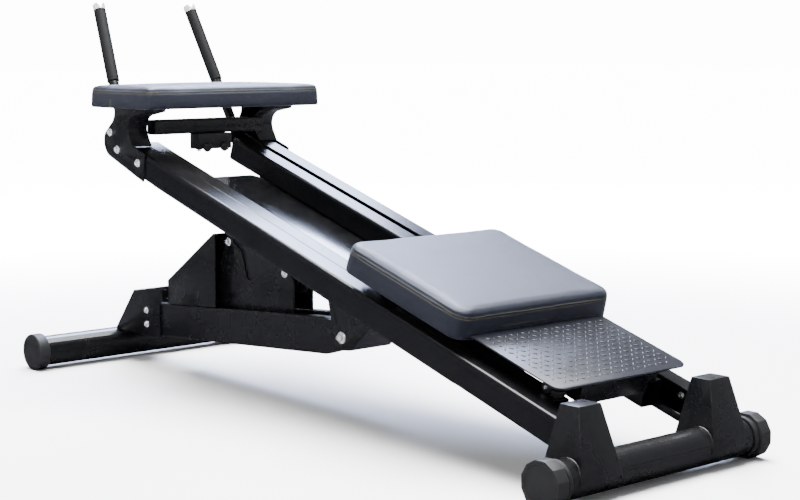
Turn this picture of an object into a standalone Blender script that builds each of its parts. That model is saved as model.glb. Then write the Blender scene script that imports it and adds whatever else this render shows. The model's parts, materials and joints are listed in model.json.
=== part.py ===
"""Sliding abdominal trainer: a kneeling carriage that rolls up two inclined rails towards a forearm pad.

Metres, +Z up. +X is the machine's right, +Y points towards the high end with the forearm pad.
The origin lies on the floor, halfway between the two foot tubes.
"""

import math

import bmesh
import bpy
from mathutils import Euler, Matrix, Vector

# Overall sizes
BASE_LENGTH = 1.785  # distance between the axes of the two foot tubes
FOOT_HALF_WIDTH = 0.312  # centre plane to the outer face of a foot cap
SLOPE = math.radians(17.3)  # the rails' slope

# Clearances
GAP = 0.0003  # between two pieces that touch
RUN_GAP = 0.0004  # between two pieces that turn or slide

# Foot tubes and their caps
TUBE_RADIUS = 0.038
TUBE_WALL = 0.0025
CAP_RADIUS = 0.046  # centre to a flat of the cap
CAP_LENGTH = 0.030
PLUG_LENGTH = 0.018
REAR_CAP_SIDES = 12
COLLAR_LENGTH = 0.015
COLLAR_GROOVE = 0.005
COLLAR_HEIGHT = 0.004
ROUND_SIDES = 32

# Rails and tracks. Along the rail is "s", square to it is "n".
RAIL_RISE = 0.0662  # floor to the rails' lower line above the rear tube's axis
RAIL_OUTER = 0.215
RAIL_WIDTH = 0.048
RAIL_HEIGHT = 0.061
RAIL_WALL = 0.003
RAIL_ROUND = 0.009
RAIL_START = 0.018
RAIL_END = 1.600
GROOVE = 0.004  # between a rail and the track inside it
TRACK_WIDTH = 0.051
TRACK_HEIGHT = RAIL_HEIGHT - 0.004
TRACK_ROUND = 0.007
TRACK_WALL = 0.0025
TRACK_START = 0.135
TRACK_SETBACK = 0.025  # how far a track ends short of its rail
TIE_X = 0.146
TIE_WIDTH = 0.004
TIE_HEIGHT = 0.016
TIE_LENGTH = 0.0735
LOW_STOP_LENGTH = 0.016
LOW_STOP_HEIGHT = 0.013

# Rear brackets, which hold the rails' low ends
SHEET = 0.004
BRACKET_TOP = 0.177
BRACKET_BOTTOM = 0.044
BRACKET_FOOT_X = (0.134, 0.245)
BRACKET_HEAD_X = (0.160, 0.2192)
BRACKET_HEAD_Y = (-0.009, 0.038)
BRACKET_FOOT_DEPTH = 0.062

# Belly pan under the rails
PAN_HALF_WIDTH = 0.205
PAN_THICKNESS = 0.003
PAN_START = 0.350
PAN_SETBACK = 0.135  # its nose ends this far short of the rails' ends
PAN_NOSE_HALF_WIDTH = 0.101
PAN_CORNER = 0.024

# Head: cheeks, cross tube, stop block, forearm pad and grips. Places are from the rails' end corner.
CHEEK_INNER = 0.1635
CHEEK_TOP = 0.0745
CROSS_SIZE = 0.036
CROSS_ROUND = 0.005
CROSS_WALL = 0.003
CROSS_BACK = 0.083
CROSS_TOP = 0.045
STOP_HALF_WIDTH = 0.050
STOP_HEIGHT = 0.038
STOP_DEPTH = 0.037
STOP_BACK = 0.018
BUMPER_RADIUS = 0.012
BUMPER_LENGTH = 0.018
BUMPER_LIFT = 0.006  # block's bottom to the bumper's centre
BUMPER_X = 0.026
PAD_SIZE = (0.516, 0.263, 0.052)
PAD_AHEAD = 0.065  # the pad's high edge past the rails' top corner
PAD_CORNER = 0.030
PAD_EDGE = 0.010
BOARD_INSET = 0.014
BOARD_THICKNESS = 0.012
GRIP_TUBE_RADIUS = 0.0125
GRIP_RADIUS = 0.0152
GRIP_FOOT = (0.1706, 0.044, 0.0)
GRIP_LENGTH = 0.366
GRIP_START = 0.150
GRIP_END_CAP = 0.018
GRIP_LEAN = math.atan2(0.087, 0.179)
GRIP_TOE = math.atan2(0.020, 0.199)

# Carriage
TRAY_START = 0.122
TRAY_END = 0.722
TRAY_HALF_WIDTH = 0.150
TRAY_CLEARANCE = 0.0222  # rail top to the tray's underside
TRAY_THICKNESS = 0.003
TRAY_KEEL_X = 0.088
TRAY_KEEL_DEPTH = 0.037
ROLLER_RADIUS = 0.0122
ROLLER_WIDTH = 0.026
ROLLER_X = 0.135
AXLE_RADIUS = 0.004
AXLE_REACH = 0.004
ROLLER_LOW = 0.046  # from the tray's low end to the first axle
ROLLER_HIGH = 0.060  # from the last axle to the tray's high end
END_PLATE_HALF_WIDTH = 0.100
KNEE_PAD_SIZE = (0.448, 0.375, 0.064)
KNEE_PAD_START = 0.349
KNEE_PAD_CORNER = 0.042
KNEE_PAD_EDGE = 0.013
FOOT_PLATE_START = 0.104
FOOT_PLATE_HALF_WIDTH = 0.190
FOOT_PLATE_CORNER = 0.022
FOOT_PLATE_RAISE = 0.010
FOOT_RIB_X = 0.090
FOOT_RIB_WIDTH = 0.030

# Pivot between the rail frame and the base
PIVOT_S = 0.845
PIVOT_DROP = 0.149  # square to the rails, below their lower line
PIVOT_BOLT_RADIUS = 0.008
PIVOT_HALF_WIDTH = 0.060
PIVOT_EYE = 0.029
PIVOT_WEB_REACH = 0.0375  # pivot to the foot of the bracket's web
PIVOT_REACH_LOW = 0.132
PIVOT_REACH_HIGH = 0.122
SPACER_RADIUS = 0.021

# Base
BEAM_HEIGHT = 0.086
BEAM_WIDTH = 0.030
BEAM_WALL = 0.003
BEAM_EYE = 0.026
BEAM_TAPER = 0.070
BEAM_END_BACK = 0.100
BEAM_END_HEIGHT = 0.120
BEAM_ROUND = 0.006
BASE_FLANGE_LENGTH = 0.112
BASE_FLANGE_LOW = 0.080
BASE_WEB_RISE = 0.107  # web's top above the foot tube's top
SADDLE_HALF_WIDTH = 0.024

# Tower and incline clamp. Places are from the pivot.
TOWER_BACK = 0.489
TOWER_TOP = 0.193
TOWER_FRONT = 0.694
TOWER_SHOULDER = 0.058
INCLINE_RANGE = math.radians(8.0)
CLAMP_PLACES = ((0.465, 0.174), (0.243, 0.118))
CLAMP_RADIUS = 0.006
EAR_RADII = (0.018, 0.014)
SADDLE_PLATE_X = 0.026
VALLEY = ((0.416, 0.158), (0.393, 0.093), (0.384, 0.088), (0.368, 0.0885), (0.316, 0.109))
SADDLE_FRONT = 0.530
HANGER_MARGIN = 0.010

# Fasteners
BOLT_HEAD = 0.008
BOLT_HEAD_HEIGHT = 0.005
BOLT_RADIUS = 0.004
HEX = 6

REAR_Y = -BASE_LENGTH / 2
FRONT_Y = BASE_LENGTH / 2
SIDES = (("left", -1), ("right", 1))

BLACK_PAINT = ("black_paint", (0.018, 0.019, 0.021), 0.32, 0.0)
BLACK_STEEL = ("black_steel", (0.030, 0.032, 0.038), 0.38, 0.6)
BLACK_LEATHER = ("black_leather", (0.020, 0.021, 0.026), 0.48, 0.0)
PLYWOOD = ("plywood", (0.42, 0.29, 0.17), 0.75, 0.0)
RUBBER = ("rubber", (0.035, 0.036, 0.038), 0.70, 0.0)
NYLON = ("nylon", (0.08, 0.08, 0.085), 0.45, 0.0)
ZINC = ("zinc", (0.62, 0.63, 0.65), 0.30, 1.0)
CHROME = ("chrome", (0.80, 0.81, 0.83), 0.12, 1.0)


def clear_scene():
    for obj in list(bpy.data.objects):
        bpy.data.objects.remove(obj, do_unlink=True)


def material_for(name, finish):
    """A Principled BSDF of the piece's own, with the finish's colour, roughness and metallic value."""
    _, colour, roughness, metallic = finish
    material = bpy.data.materials.new(name)
    material.use_nodes = True
    shader = material.node_tree.nodes["Principled BSDF"]
    shader.inputs["Base Color"].default_value = (*colour, 1.0)
    shader.inputs["Roughness"].default_value = roughness
    shader.inputs["Metallic"].default_value = metallic
    return material


def object_from(name, bm):
    bmesh.ops.recalc_face_normals(bm, faces=bm.faces)
    mesh = bpy.data.meshes.new(name)
    bm.to_mesh(mesh)
    bm.free()
    obj = bpy.data.objects.new(name, mesh)
    bpy.context.scene.collection.objects.link(obj)
    return obj


def helper(name, bm):
    """A cutter or an added shape, which isn't a piece of its own."""
    obj = object_from(name, bm)
    obj.hide_render = True
    obj.display_type = "WIRE"
    return obj


def piece(name, bm, finish, place=None, cuts=(), adds=(), smooth=False):
    """One piece. Cuts and adds are bmeshes in the piece's own coordinates."""
    obj = object_from(name, bm)
    obj.data.materials.append(material_for(name, finish))
    for operation, shapes in (("UNION", adds), ("DIFFERENCE", cuts)):
        for index, shape in enumerate(shapes):
            other = helper(f"{name}_{operation.lower()}_{index}", shape)
            other.parent = obj
            boolean = obj.modifiers.new(f"{operation.lower()} {index}", "BOOLEAN")
            boolean.operation = operation
            boolean.object = other
            boolean.solver = "EXACT"
    if smooth:
        obj.data.shade_smooth()
        obj.data.set_sharp_from_angle(angle=math.radians(40))
    if place is not None:
        obj.matrix_world = place
    return obj


def box(low, high):
    bm = bmesh.new()
    size = Vector(high) - Vector(low)
    middle = (Vector(high) + Vector(low)) / 2
    bmesh.ops.create_cube(bm, size=1.0, matrix=Matrix.Translation(middle) @ Matrix.Diagonal((*size, 1.0)))
    return bm


def slab(outline, low_x, high_x):
    """An outline of (y, z) points, extruded along X."""
    bm = bmesh.new()
    face = bm.faces.new([bm.verts.new((low_x, y, z)) for y, z in outline])
    moved = bmesh.ops.extrude_face_region(bm, geom=[face])["geom"]
    corners = [item for item in moved if isinstance(item, bmesh.types.BMVert)]
    bmesh.ops.translate(bm, verts=corners, vec=(high_x - low_x, 0, 0))
    return bm


def sheet(outline, low_z, high_z):
    """An outline of (x, y) points, extruded along Z."""
    bm = slab([(x, y) for x, y in outline], low_z, high_z)
    bmesh.ops.transform(bm, matrix=Matrix(((0, 1, 0, 0), (0, 0, 1, 0), (1, 0, 0, 0), (0, 0, 0, 1))), verts=bm.verts)
    return bm


def turned(profile, sides, phase=0.0):
    """A profile of (x, radius) points, turned round X. It is solid where it starts and ends on the axis."""
    bm = bmesh.new()
    rings = []
    for x, radius in profile:
        if radius == 0:
            rings.append([bm.verts.new((x, 0, 0))])
            continue
        angles = [math.tau * index / sides + phase for index in range(sides)]
        rings.append([bm.verts.new((x, radius * math.cos(a), radius * math.sin(a))) for a in angles])
    closed = profile[0][1] > 0
    pairs = list(zip(rings, rings[1:]))
    if closed:
        pairs.append((rings[-1], rings[0]))
    for first, second in pairs:
        for index in range(sides):
            after = (index + 1) % sides
            corners = [first[index % len(first)], first[after % len(first)]]
            corners += [second[after % len(second)], second[index % len(second)]]
            bm.faces.new(list(dict.fromkeys(corners)))
    return bm


def rod(radius, low_x, high_x, sides=ROUND_SIDES, y=0.0, z=0.0):
    bm = turned([(low_x, 0), (low_x, radius), (high_x, radius), (high_x, 0)], sides, math.pi / sides)
    bmesh.ops.translate(bm, verts=bm.verts, vec=(0, y, z))
    return bm


def arc(centre, radius, start, end, steps):
    """Points (a, b) on an arc, angles in degrees."""
    angles = [math.radians(start + (end - start) * index / steps) for index in range(steps + 1)]
    return [(centre[0] + radius * math.cos(a), centre[1] + radius * math.sin(a)) for a in angles]


def rounded_rectangle(low, high, radius, steps=4):
    (a0, b0), (a1, b1) = low, high
    points = arc((a1 - radius, b0 + radius), radius, -90, 0, steps)
    points += arc((a1 - radius, b1 - radius), radius, 0, 90, steps)
    points += arc((a0 + radius, b1 - radius), radius, 90, 180, steps)
    points += arc((a0 + radius, b0 + radius), radius, 180, 270, steps)
    return points


def band(line, thickness):
    """A strip of even thickness on the left of an open line of (a, b) points, as one closed outline."""
    inner = []
    for index, point in enumerate(line):
        before = Vector(line[max(index - 1, 0)])
        after = Vector(line[min(index + 1, len(line) - 1)])
        along = (after - before).normalized()
        inner.append((point[0] - along.y * thickness, point[1] + along.x * thickness))
    return list(line) + inner[::-1]


def hull(points):
    bm = bmesh.new()
    corners = [bm.verts.new(point) for point in points]
    result = bmesh.ops.convex_hull(bm, input=corners)
    spare = [item for item in result["geom_interior"] if isinstance(item, bmesh.types.BMVert)]
    bmesh.ops.delete(bm, geom=spare, context="VERTS")
    return bm


def placed(bm, matrix):
    bmesh.ops.transform(bm, matrix=matrix, verts=bm.verts)
    return bm


def rail_place(x=0.0, s=0.0, n=0.0):
    """World matrix of a point in the rails' frame."""
    origin = Matrix.Translation((0, REAR_Y, RAIL_RISE)) @ Matrix.Rotation(SLOPE, 4, "X")
    return origin @ Matrix.Translation((x, s, n))


def rail_point(s, n):
    """World (y, z) of a point in the rails' frame."""
    point = rail_place(0, s, n).translation
    return point.y, point.z


def across(low, high, sign):
    """A span of distances from the centre plane, as low and high X on one side."""
    return (low, high) if sign > 0 else (-high, -low)


def hex_bolt(reach, radius=BOLT_RADIUS, head=BOLT_HEAD, both_ends=False):
    """A bolt along X. Its head stands outside x = 0, or there is one at each end of +-reach."""
    rise = BOLT_HEAD_HEIGHT
    if both_ends:
        profile = [(-reach - rise, 0), (-reach - rise, head), (-reach, head), (-reach, radius)]
        profile += [(reach, radius), (reach, head), (reach + rise, head), (reach + rise, 0)]
    else:
        profile = [(-reach, 0), (-reach, radius), (0, radius), (0, head), (rise, head), (rise, 0)]
    return turned(profile, 2 * HEX)


# Feet

def foot_tube(name, y):
    reach = FOOT_HALF_WIDTH - CAP_LENGTH - GAP
    inner = TUBE_RADIUS - TUBE_WALL
    profile = [(-reach, TUBE_RADIUS), (reach, TUBE_RADIUS), (reach, inner), (-reach, inner)]
    piece(name, turned(profile, ROUND_SIDES, math.pi / ROUND_SIDES), BLACK_PAINT,
          Matrix.Translation((0, y, CAP_RADIUS)), smooth=True)


def foot_cap(name, sign, y, sides, collar=False):
    """A rubber cap whose plug fits in the tube. It stands on one of its flats. A collar hugs the tube beside it."""
    corner = CAP_RADIUS / math.cos(math.pi / sides)
    plug = TUBE_RADIUS - TUBE_WALL - GAP
    face = FOOT_HALF_WIDTH
    back = face - CAP_LENGTH
    profile = [(face, 0), (face, corner - 0.004), (face - 0.003, corner), (back, corner)]
    profile += [(back, plug), (back - PLUG_LENGTH, plug), (back - PLUG_LENGTH, 0)]
    bm = turned([(sign * x, radius) for x, radius in profile], sides, math.pi / sides)
    adds = [rear_collar(sign)] if collar else []
    piece(name, bm, RUBBER, Matrix.Translation((0, y, CAP_RADIUS)), adds=adds, smooth=sides == ROUND_SIDES)


def rear_collar(sign):
    """A ring round the tube, with a narrower neck that joins it to the cap."""
    outer = TUBE_RADIUS + COLLAR_HEIGHT
    inner = TUBE_RADIUS + GAP
    end = FOOT_HALF_WIDTH - CAP_LENGTH
    start = end - COLLAR_LENGTH
    neck = inner + COLLAR_HEIGHT / 3
    profile = [(start, outer), (end - COLLAR_GROOVE, outer), (end - COLLAR_GROOVE, neck)]
    profile += [(end + 0.001, neck), (end + 0.001, inner), (start, inner)]
    return turned([(sign * x, radius) for x, radius in profile], ROUND_SIDES)


# Rail frame

def side_rail(name, sign):
    """A rounded channel that is open towards the machine's middle."""
    inner_x = RAIL_OUTER - RAIL_WIDTH
    wall = RAIL_WALL
    outer = [(inner_x, 0)] + arc((RAIL_OUTER - RAIL_ROUND, RAIL_ROUND), RAIL_ROUND, -90, 0, 4)
    outer += arc((RAIL_OUTER - RAIL_ROUND, RAIL_HEIGHT - RAIL_ROUND), RAIL_ROUND, 0, 90, 4)
    outer += [(inner_x, RAIL_HEIGHT)]
    bend = RAIL_ROUND - wall
    inside = [(inner_x, RAIL_HEIGHT - wall)]
    inside += arc((RAIL_OUTER - RAIL_ROUND, RAIL_HEIGHT - RAIL_ROUND), bend, 90, 0, 4)
    inside += arc((RAIL_OUTER - RAIL_ROUND, RAIL_ROUND), bend, 0, -90, 4)
    inside += [(inner_x, wall)]
    tube = placed(rear_tube_cutter(), rail_place().inverted())
    piece(name, rail_section([(sign * x, n) for x, n in outer + inside], RAIL_START, RAIL_END),
          BLACK_PAINT, rail_place(), cuts=(tube,), smooth=True)


def rear_tube_cutter():
    """The rear foot tube with its clearance, in world coordinates."""
    return rod(TUBE_RADIUS + GAP, -FOOT_HALF_WIDTH, FOOT_HALF_WIDTH, ROUND_SIDES, REAR_Y, CAP_RADIUS)


def rail_section(outline, start, end):
    """An outline of (x, n) points, run along the rail from start to end."""
    bm = sheet([(x, n) for x, n in outline], -end, -start)
    return placed(bm, Matrix.Rotation(math.pi / 2, 4, "X"))


def track(name, sign):
    """A closed tube inside the rail. The rollers run on its top."""
    high = RAIL_OUTER - RAIL_WIDTH - GROOVE
    wall = TRACK_WALL
    end = RAIL_END - TRACK_SETBACK
    outline = rounded_rectangle((high - TRACK_WIDTH, 0), (high, TRACK_HEIGHT), TRACK_ROUND, 3)
    hollow = rounded_rectangle((high - TRACK_WIDTH + wall, wall), (high - wall, TRACK_HEIGHT - wall),
                               TRACK_ROUND - wall, 3)
    bore = rail_section([(sign * x, n) for x, n in hollow], TRACK_START - wall, end + wall)
    piece(name, rail_section([(sign * x, n) for x, n in outline], TRACK_START, end), BLACK_PAINT, rail_place(),
          cuts=(bore,), smooth=True)


def track_tie(name, sign):
    """A flat bar that carries on from the low end of a track, along the rails' lower line."""
    span = across(TIE_X, TIE_X + TIE_WIDTH, sign)
    end = TRACK_START - GAP
    bm = box((span[0], end - TIE_LENGTH, 0.001), (span[1], end, 0.001 + TIE_HEIGHT))
    piece(name, bm, BLACK_PAINT, rail_place())


def low_stop(name, sign):
    """A rubber block on a track, which the low roller meets at rest."""
    high = TRAY_START + ROLLER_LOW - ROLLER_RADIUS - GAP
    span = across(ROLLER_X - ROLLER_WIDTH / 2, ROLLER_X + ROLLER_WIDTH / 2, sign)
    low_n = TRACK_HEIGHT + GAP
    bm = box((span[0], high - LOW_STOP_LENGTH, low_n), (span[1], high, low_n + LOW_STOP_HEIGHT))
    piece(name, bm, RUBBER, rail_place())


def tapered_box(sign, foot_x, head_x, foot_y, head_y, low_z, high_z):
    points = []
    for x_span, y_span, z in ((foot_x, foot_y, low_z), (head_x, head_y, high_z)):
        points += [(sign * x, y, z) for x in x_span for y in y_span]
    return hull(points)


def rear_bracket(name, sign):
    """A folded sheet box, narrower at its top and open below and towards the rails."""
    back = -TUBE_RADIUS - GAP - SHEET
    outer = tapered_box(sign, BRACKET_FOOT_X, BRACKET_HEAD_X, (back, BRACKET_FOOT_DEPTH), BRACKET_HEAD_Y,
                        BRACKET_BOTTOM, BRACKET_TOP)
    foot_x = (BRACKET_FOOT_X[0] + SHEET, BRACKET_FOOT_X[1] - SHEET)
    head_x = (BRACKET_HEAD_X[0] + SHEET, BRACKET_HEAD_X[1] - SHEET)
    margin = 0.030
    inner = tapered_box(sign, foot_x, head_x, (back + SHEET, BRACKET_FOOT_DEPTH + margin),
                        (BRACKET_HEAD_Y[0] + SHEET, BRACKET_HEAD_Y[1] + margin),
                        BRACKET_BOTTOM, BRACKET_TOP - SHEET)
    below = box((sign * 0.1 - 0.2, back + SHEET, BRACKET_BOTTOM - 0.02),
                (sign * 0.3 + 0.1, BRACKET_FOOT_DEPTH + margin, BRACKET_BOTTOM + 0.002))
    tube = rod(TUBE_RADIUS + GAP, -0.4, 0.4, ROUND_SIDES, 0, CAP_RADIUS)
    piece(name, outer, BLACK_PAINT, Matrix.Translation((0, REAR_Y, 0)), cuts=(inner, below, tube))


def belly_pan():
    nose = RAIL_END - PAN_SETBACK
    half = PAN_HALF_WIDTH
    shoulder = nose - PAN_CORNER
    edge = PAN_NOSE_HALF_WIDTH
    outline = [(-half, PAN_START), (half, PAN_START), (half, shoulder), (edge + PAN_CORNER, shoulder)]
    outline += [(edge, nose), (-edge, nose), (-edge - PAN_CORNER, shoulder), (-half, shoulder)]
    piece("belly_pan", sheet(outline, -PAN_THICKNESS - GAP, -GAP), BLACK_PAINT, rail_place())


# Head

def head_corner():
    """World (y, z) of the rails' top corner at the high end, from which the head is placed."""
    return rail_point(RAIL_END, RAIL_HEIGHT)


def cheek_front(y, z):
    """The cheek's front edge from the pad down round the nose, in world (y, z)."""
    neck = arc((y + 0.0525, z + 0.068), 0.042, 175, 240, 5)
    nose = arc((y + 0.020, z - 0.008), 0.040, 28, -62, 7)
    return [(y + 0.0095, z + CHEEK_TOP - 0.001)] + neck + nose


def cheek_rear(y, z):
    """The cheek's rear edge from under the pad down to the rail's top, in world (y, z)."""
    curve = arc((y - 0.081, z + 0.024), 0.034, 75, -15, 6)
    return [(y - 0.128, z + CHEEK_TOP - 2 * SHEET)] + curve


def cheek(name, sign):
    """A plate on the rail's outer face, folded inwards along its front and rear edges, with a seat for the pad."""
    y, z = head_corner()
    top = z + CHEEK_TOP
    front = cheek_front(y, z)
    rear = cheek_rear(y, z)
    neck_foot = rail_point(RAIL_END - 0.068, RAIL_HEIGHT + SHEET)
    low_end = rail_point(RAIL_END - 0.135, -0.002)
    low_top = rail_point(RAIL_END - 0.121, RAIL_HEIGHT + 0.002)
    plate = front + [low_end, low_top, neck_foot] + rear[::-1] + [(rear[0][0], top - 0.001)]
    outer = RAIL_OUTER + GAP
    plate_span = across(outer, outer + SHEET, sign)
    fold_span = across(CHEEK_INNER, outer + SHEET / 2, sign)
    holes = [rod(BOLT_RADIUS + GAP, *across(outer - 0.01, outer + 0.02, sign), 2 * HEX, *place)
             for place in cheek_bolt_places()]
    front_fold = slab(band(front, -SHEET), *fold_span)
    rear_fold = slab(band(rear + [neck_foot], SHEET), *fold_span)
    seat = box((across(CHEEK_INNER, outer + SHEET, sign)[0], y - 0.130, top - SHEET),
               (across(CHEEK_INNER, outer + SHEET, sign)[1], y + 0.0095, top))
    piece(name, slab(plate, *plate_span), BLACK_PAINT, adds=(front_fold, rear_fold, seat), cuts=holes)


def cheek_bolt_places():
    """World (y, z) of the three bolts that hold each cheek."""
    y, z = head_corner()
    return [(y + 0.0305, z + 0.014), rail_point(RAIL_END - 0.008, 0.035), rail_point(RAIL_END - 0.101, 0.034)]


def cheek_bolt(name, sign, place):
    bm = hex_bolt(SHEET)
    if sign < 0:
        bmesh.ops.rotate(bm, verts=bm.verts, matrix=Matrix.Rotation(math.pi, 3, "Z"))
    outer = sign * (RAIL_OUTER + 2 * GAP + SHEET)
    piece(name, bm, ZINC, Matrix.Translation((outer, *place)))


def cross_tube():
    y, z = head_corner()
    half = CROSS_SIZE / 2
    centre = (y - CROSS_BACK + half, z + CROSS_TOP - half)
    reach = CHEEK_INNER - GAP
    outline, hollow = (rounded_rectangle((centre[0] - side, centre[1] - side), (centre[0] + side, centre[1] + side),
                                         CROSS_ROUND - half + side, 2) for side in (half, half - CROSS_WALL))
    bore = slab(hollow, -reach - CROSS_WALL, reach + CROSS_WALL)
    piece("cross_tube", slab(outline, -reach, reach), BLACK_PAINT, cuts=(bore,), smooth=True)


def cross_tube_box():
    """World (low y, low z) of the cross tube."""
    y, z = head_corner()
    return y - CROSS_BACK, z + CROSS_TOP - CROSS_SIZE


def stop_block_corner():
    """World (y, z) of the stop block's low back corner."""
    y, z = cross_tube_box()
    return y - STOP_BACK, z - GAP - STOP_HEIGHT


def stop_block():
    y, z = stop_block_corner()
    bm = box((-STOP_HALF_WIDTH, y, z), (STOP_HALF_WIDTH, y + STOP_DEPTH, z + STOP_HEIGHT))
    piece("stop_block", bm, BLACK_STEEL)


def bumper(name, sign):
    """A rubber buffer on the stop block. The carriage meets it at the top of its travel."""
    y, z = stop_block_corner()
    profile = [(0, 0), (0, BUMPER_RADIUS), (BUMPER_LENGTH - 0.003, BUMPER_RADIUS)]
    profile += [(BUMPER_LENGTH, BUMPER_RADIUS - 0.003), (BUMPER_LENGTH, 0)]
    bm = placed(turned(profile, 16), Matrix.Rotation(-math.pi / 2, 4, "Z"))
    lift = BUMPER_RADIUS * math.tan(SLOPE) + GAP
    block_face = box((-0.1, -lift * 2, -0.1), (0.1, 0.1, 0.1))
    place = Matrix.Translation((sign * BUMPER_X, y, z + BUMPER_LIFT)) @ Matrix.Rotation(SLOPE, 4, "X")
    placed(block_face, place.inverted() @ Matrix.Translation((sign * BUMPER_X, y + 2 * lift - GAP, z + BUMPER_LIFT)))
    placed(bm, Matrix.Translation((0, 2 * lift, 0)))
    piece(name, bm, RUBBER, place, cuts=(block_face,), smooth=True)


def cushion(size, corner, edge, board_inset, board_thickness):
    """A padded slab with rounded corners, centred on x, from y = 0 and z = 0, with its board's recess below."""
    width, length, height = size
    outline = rounded_rectangle((-width / 2, 0), (width / 2, length), corner, 4)
    bm = sheet(outline, 0, height)
    rims = [e for e in bm.edges if all(v.co.z > height / 2 for v in e.verts)]
    bmesh.ops.bevel(bm, geom=rims, offset=edge, segments=2, affect="EDGES", profile=0.5)
    inset = board_inset - GAP
    recess = box((-width / 2 + inset, inset, -0.01), (width / 2 - inset, length - inset, board_thickness + GAP))
    return bm, recess


def board(size, inset, thickness):
    width, length, _ = size
    return box((-width / 2 + inset, inset, 0), (width / 2 - inset, length - inset, thickness))


def forearm_pad_place():
    y, z = head_corner()
    return Matrix.Translation((0, y + PAD_AHEAD - PAD_SIZE[1], z + CHEEK_TOP + GAP))


def forearm_pad():
    place = forearm_pad_place()
    bm, recess = cushion(PAD_SIZE, PAD_CORNER, PAD_EDGE, BOARD_INSET, BOARD_THICKNESS)
    piece("forearm_pad", bm, BLACK_LEATHER, place, cuts=(recess,), smooth=True)
    piece("forearm_board", board(PAD_SIZE, BOARD_INSET, BOARD_THICKNESS), PLYWOOD, place)


def grip_place(sign):
    """Matrix of a grip's axis: its X runs up the grip from the foot on the cheek."""
    y, z = head_corner()
    foot = Vector((sign * GRIP_FOOT[0], y + GRIP_FOOT[1], z + GRIP_FOOT[2]))
    along = Vector((-sign * math.tan(GRIP_TOE), math.tan(GRIP_LEAN), 1.0)).normalized()
    return Matrix.Translation(foot) @ along.to_track_quat("X", "Z").to_matrix().to_4x4()


def grip(side, sign):
    place = grip_place(sign)
    end = GRIP_LENGTH - GRIP_END_CAP
    inner = GRIP_TUBE_RADIUS - 0.0015
    tube = [(0, GRIP_TUBE_RADIUS), (end, GRIP_TUBE_RADIUS), (end, inner), (0, inner)]
    y, z = head_corner()
    front = cheek_front(y + GAP * 2, z)
    solid_nose = front + [(y - 0.1, front[-1][1]), (y - 0.1, front[0][1])]
    nose = slab(solid_nose, *across(CHEEK_INNER - 0.03, RAIL_OUTER + 0.02, sign))
    placed(nose, place.inverted())
    piece(f"grip_tube_{side}", turned(tube, 20), BLACK_PAINT, place, cuts=(nose,), smooth=True)
    sleeve = [(GRIP_START, GRIP_RADIUS), (end, GRIP_RADIUS), (end, GRIP_TUBE_RADIUS + GAP),
              (GRIP_START, GRIP_TUBE_RADIUS + GAP)]
    piece(f"grip_{side}", turned(sleeve, 20), RUBBER, place, smooth=True)
    cap = [(GRIP_LENGTH, 0), (GRIP_LENGTH, GRIP_RADIUS - 0.003), (GRIP_LENGTH - 0.003, GRIP_RADIUS)]
    cap += [(end + GAP, GRIP_RADIUS), (end + GAP, inner - GAP), (end - 0.012, inner - GAP), (end - 0.012, 0)]
    piece(f"grip_end_{side}", turned(cap, 20), CHROME, place, smooth=True)


# Carriage

def tray_height():
    return RAIL_HEIGHT + TRAY_CLEARANCE


def axle_height():
    return TRACK_HEIGHT + GAP + ROLLER_RADIUS


def tray():
    """A flat plate with a plate folded down across each end, on two keels that hold the axles."""
    low = tray_height()
    plate = box((-TRAY_HALF_WIDTH, TRAY_START, low), (TRAY_HALF_WIDTH, TRAY_END, low + TRAY_THICKNESS))
    keels = []
    for start in (TRAY_START, TRAY_END - SHEET):
        keels.append(box((-END_PLATE_HALF_WIDTH, start, low - TRAY_KEEL_DEPTH - 0.002),
                         (END_PLATE_HALF_WIDTH, start + SHEET, low + TRAY_THICKNESS / 2)))
    for _, sign in SIDES:
        span = across(TRAY_KEEL_X, TRAY_KEEL_X + SHEET, sign)
        keels.append(box((span[0], TRAY_START + 0.001, low - TRAY_KEEL_DEPTH),
                         (span[1], TRAY_END - 0.001, low + TRAY_THICKNESS / 2)))
    holes = [rod(AXLE_RADIUS + GAP, -TRAY_KEEL_X - 0.02, TRAY_KEEL_X + 0.02, 16, s, axle_height())
             for s in axle_places()]
    piece("carriage_tray", plate, BLACK_PAINT, rail_place(), adds=keels, cuts=holes)


def axle_places():
    return (TRAY_START + ROLLER_LOW, TRAY_END - ROLLER_HIGH)


def axle(name, s):
    reach = ROLLER_X + ROLLER_WIDTH / 2 + AXLE_REACH
    bm = rod(AXLE_RADIUS, -reach, reach, 16)
    piece(name, bm, ZINC, rail_place(0, s, axle_height()), smooth=True)


def roller(name, sign, s):
    low, high = -ROLLER_WIDTH / 2, ROLLER_WIDTH / 2
    bore = AXLE_RADIUS + RUN_GAP
    profile = [(low, ROLLER_RADIUS), (high, ROLLER_RADIUS), (high, bore), (low, bore)]
    piece(name, turned(profile, 24), NYLON, rail_place(sign * ROLLER_X, s, axle_height()), smooth=True)


def knee_pad():
    place = rail_place(0, KNEE_PAD_START, tray_height() + TRAY_THICKNESS + GAP)
    bm, recess = cushion(KNEE_PAD_SIZE, KNEE_PAD_CORNER, KNEE_PAD_EDGE, BOARD_INSET, BOARD_THICKNESS)
    piece("knee_pad", bm, BLACK_LEATHER, place, cuts=(recess,), smooth=True)
    piece("knee_board", board(KNEE_PAD_SIZE, BOARD_INSET, BOARD_THICKNESS), PLYWOOD, place)


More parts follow.
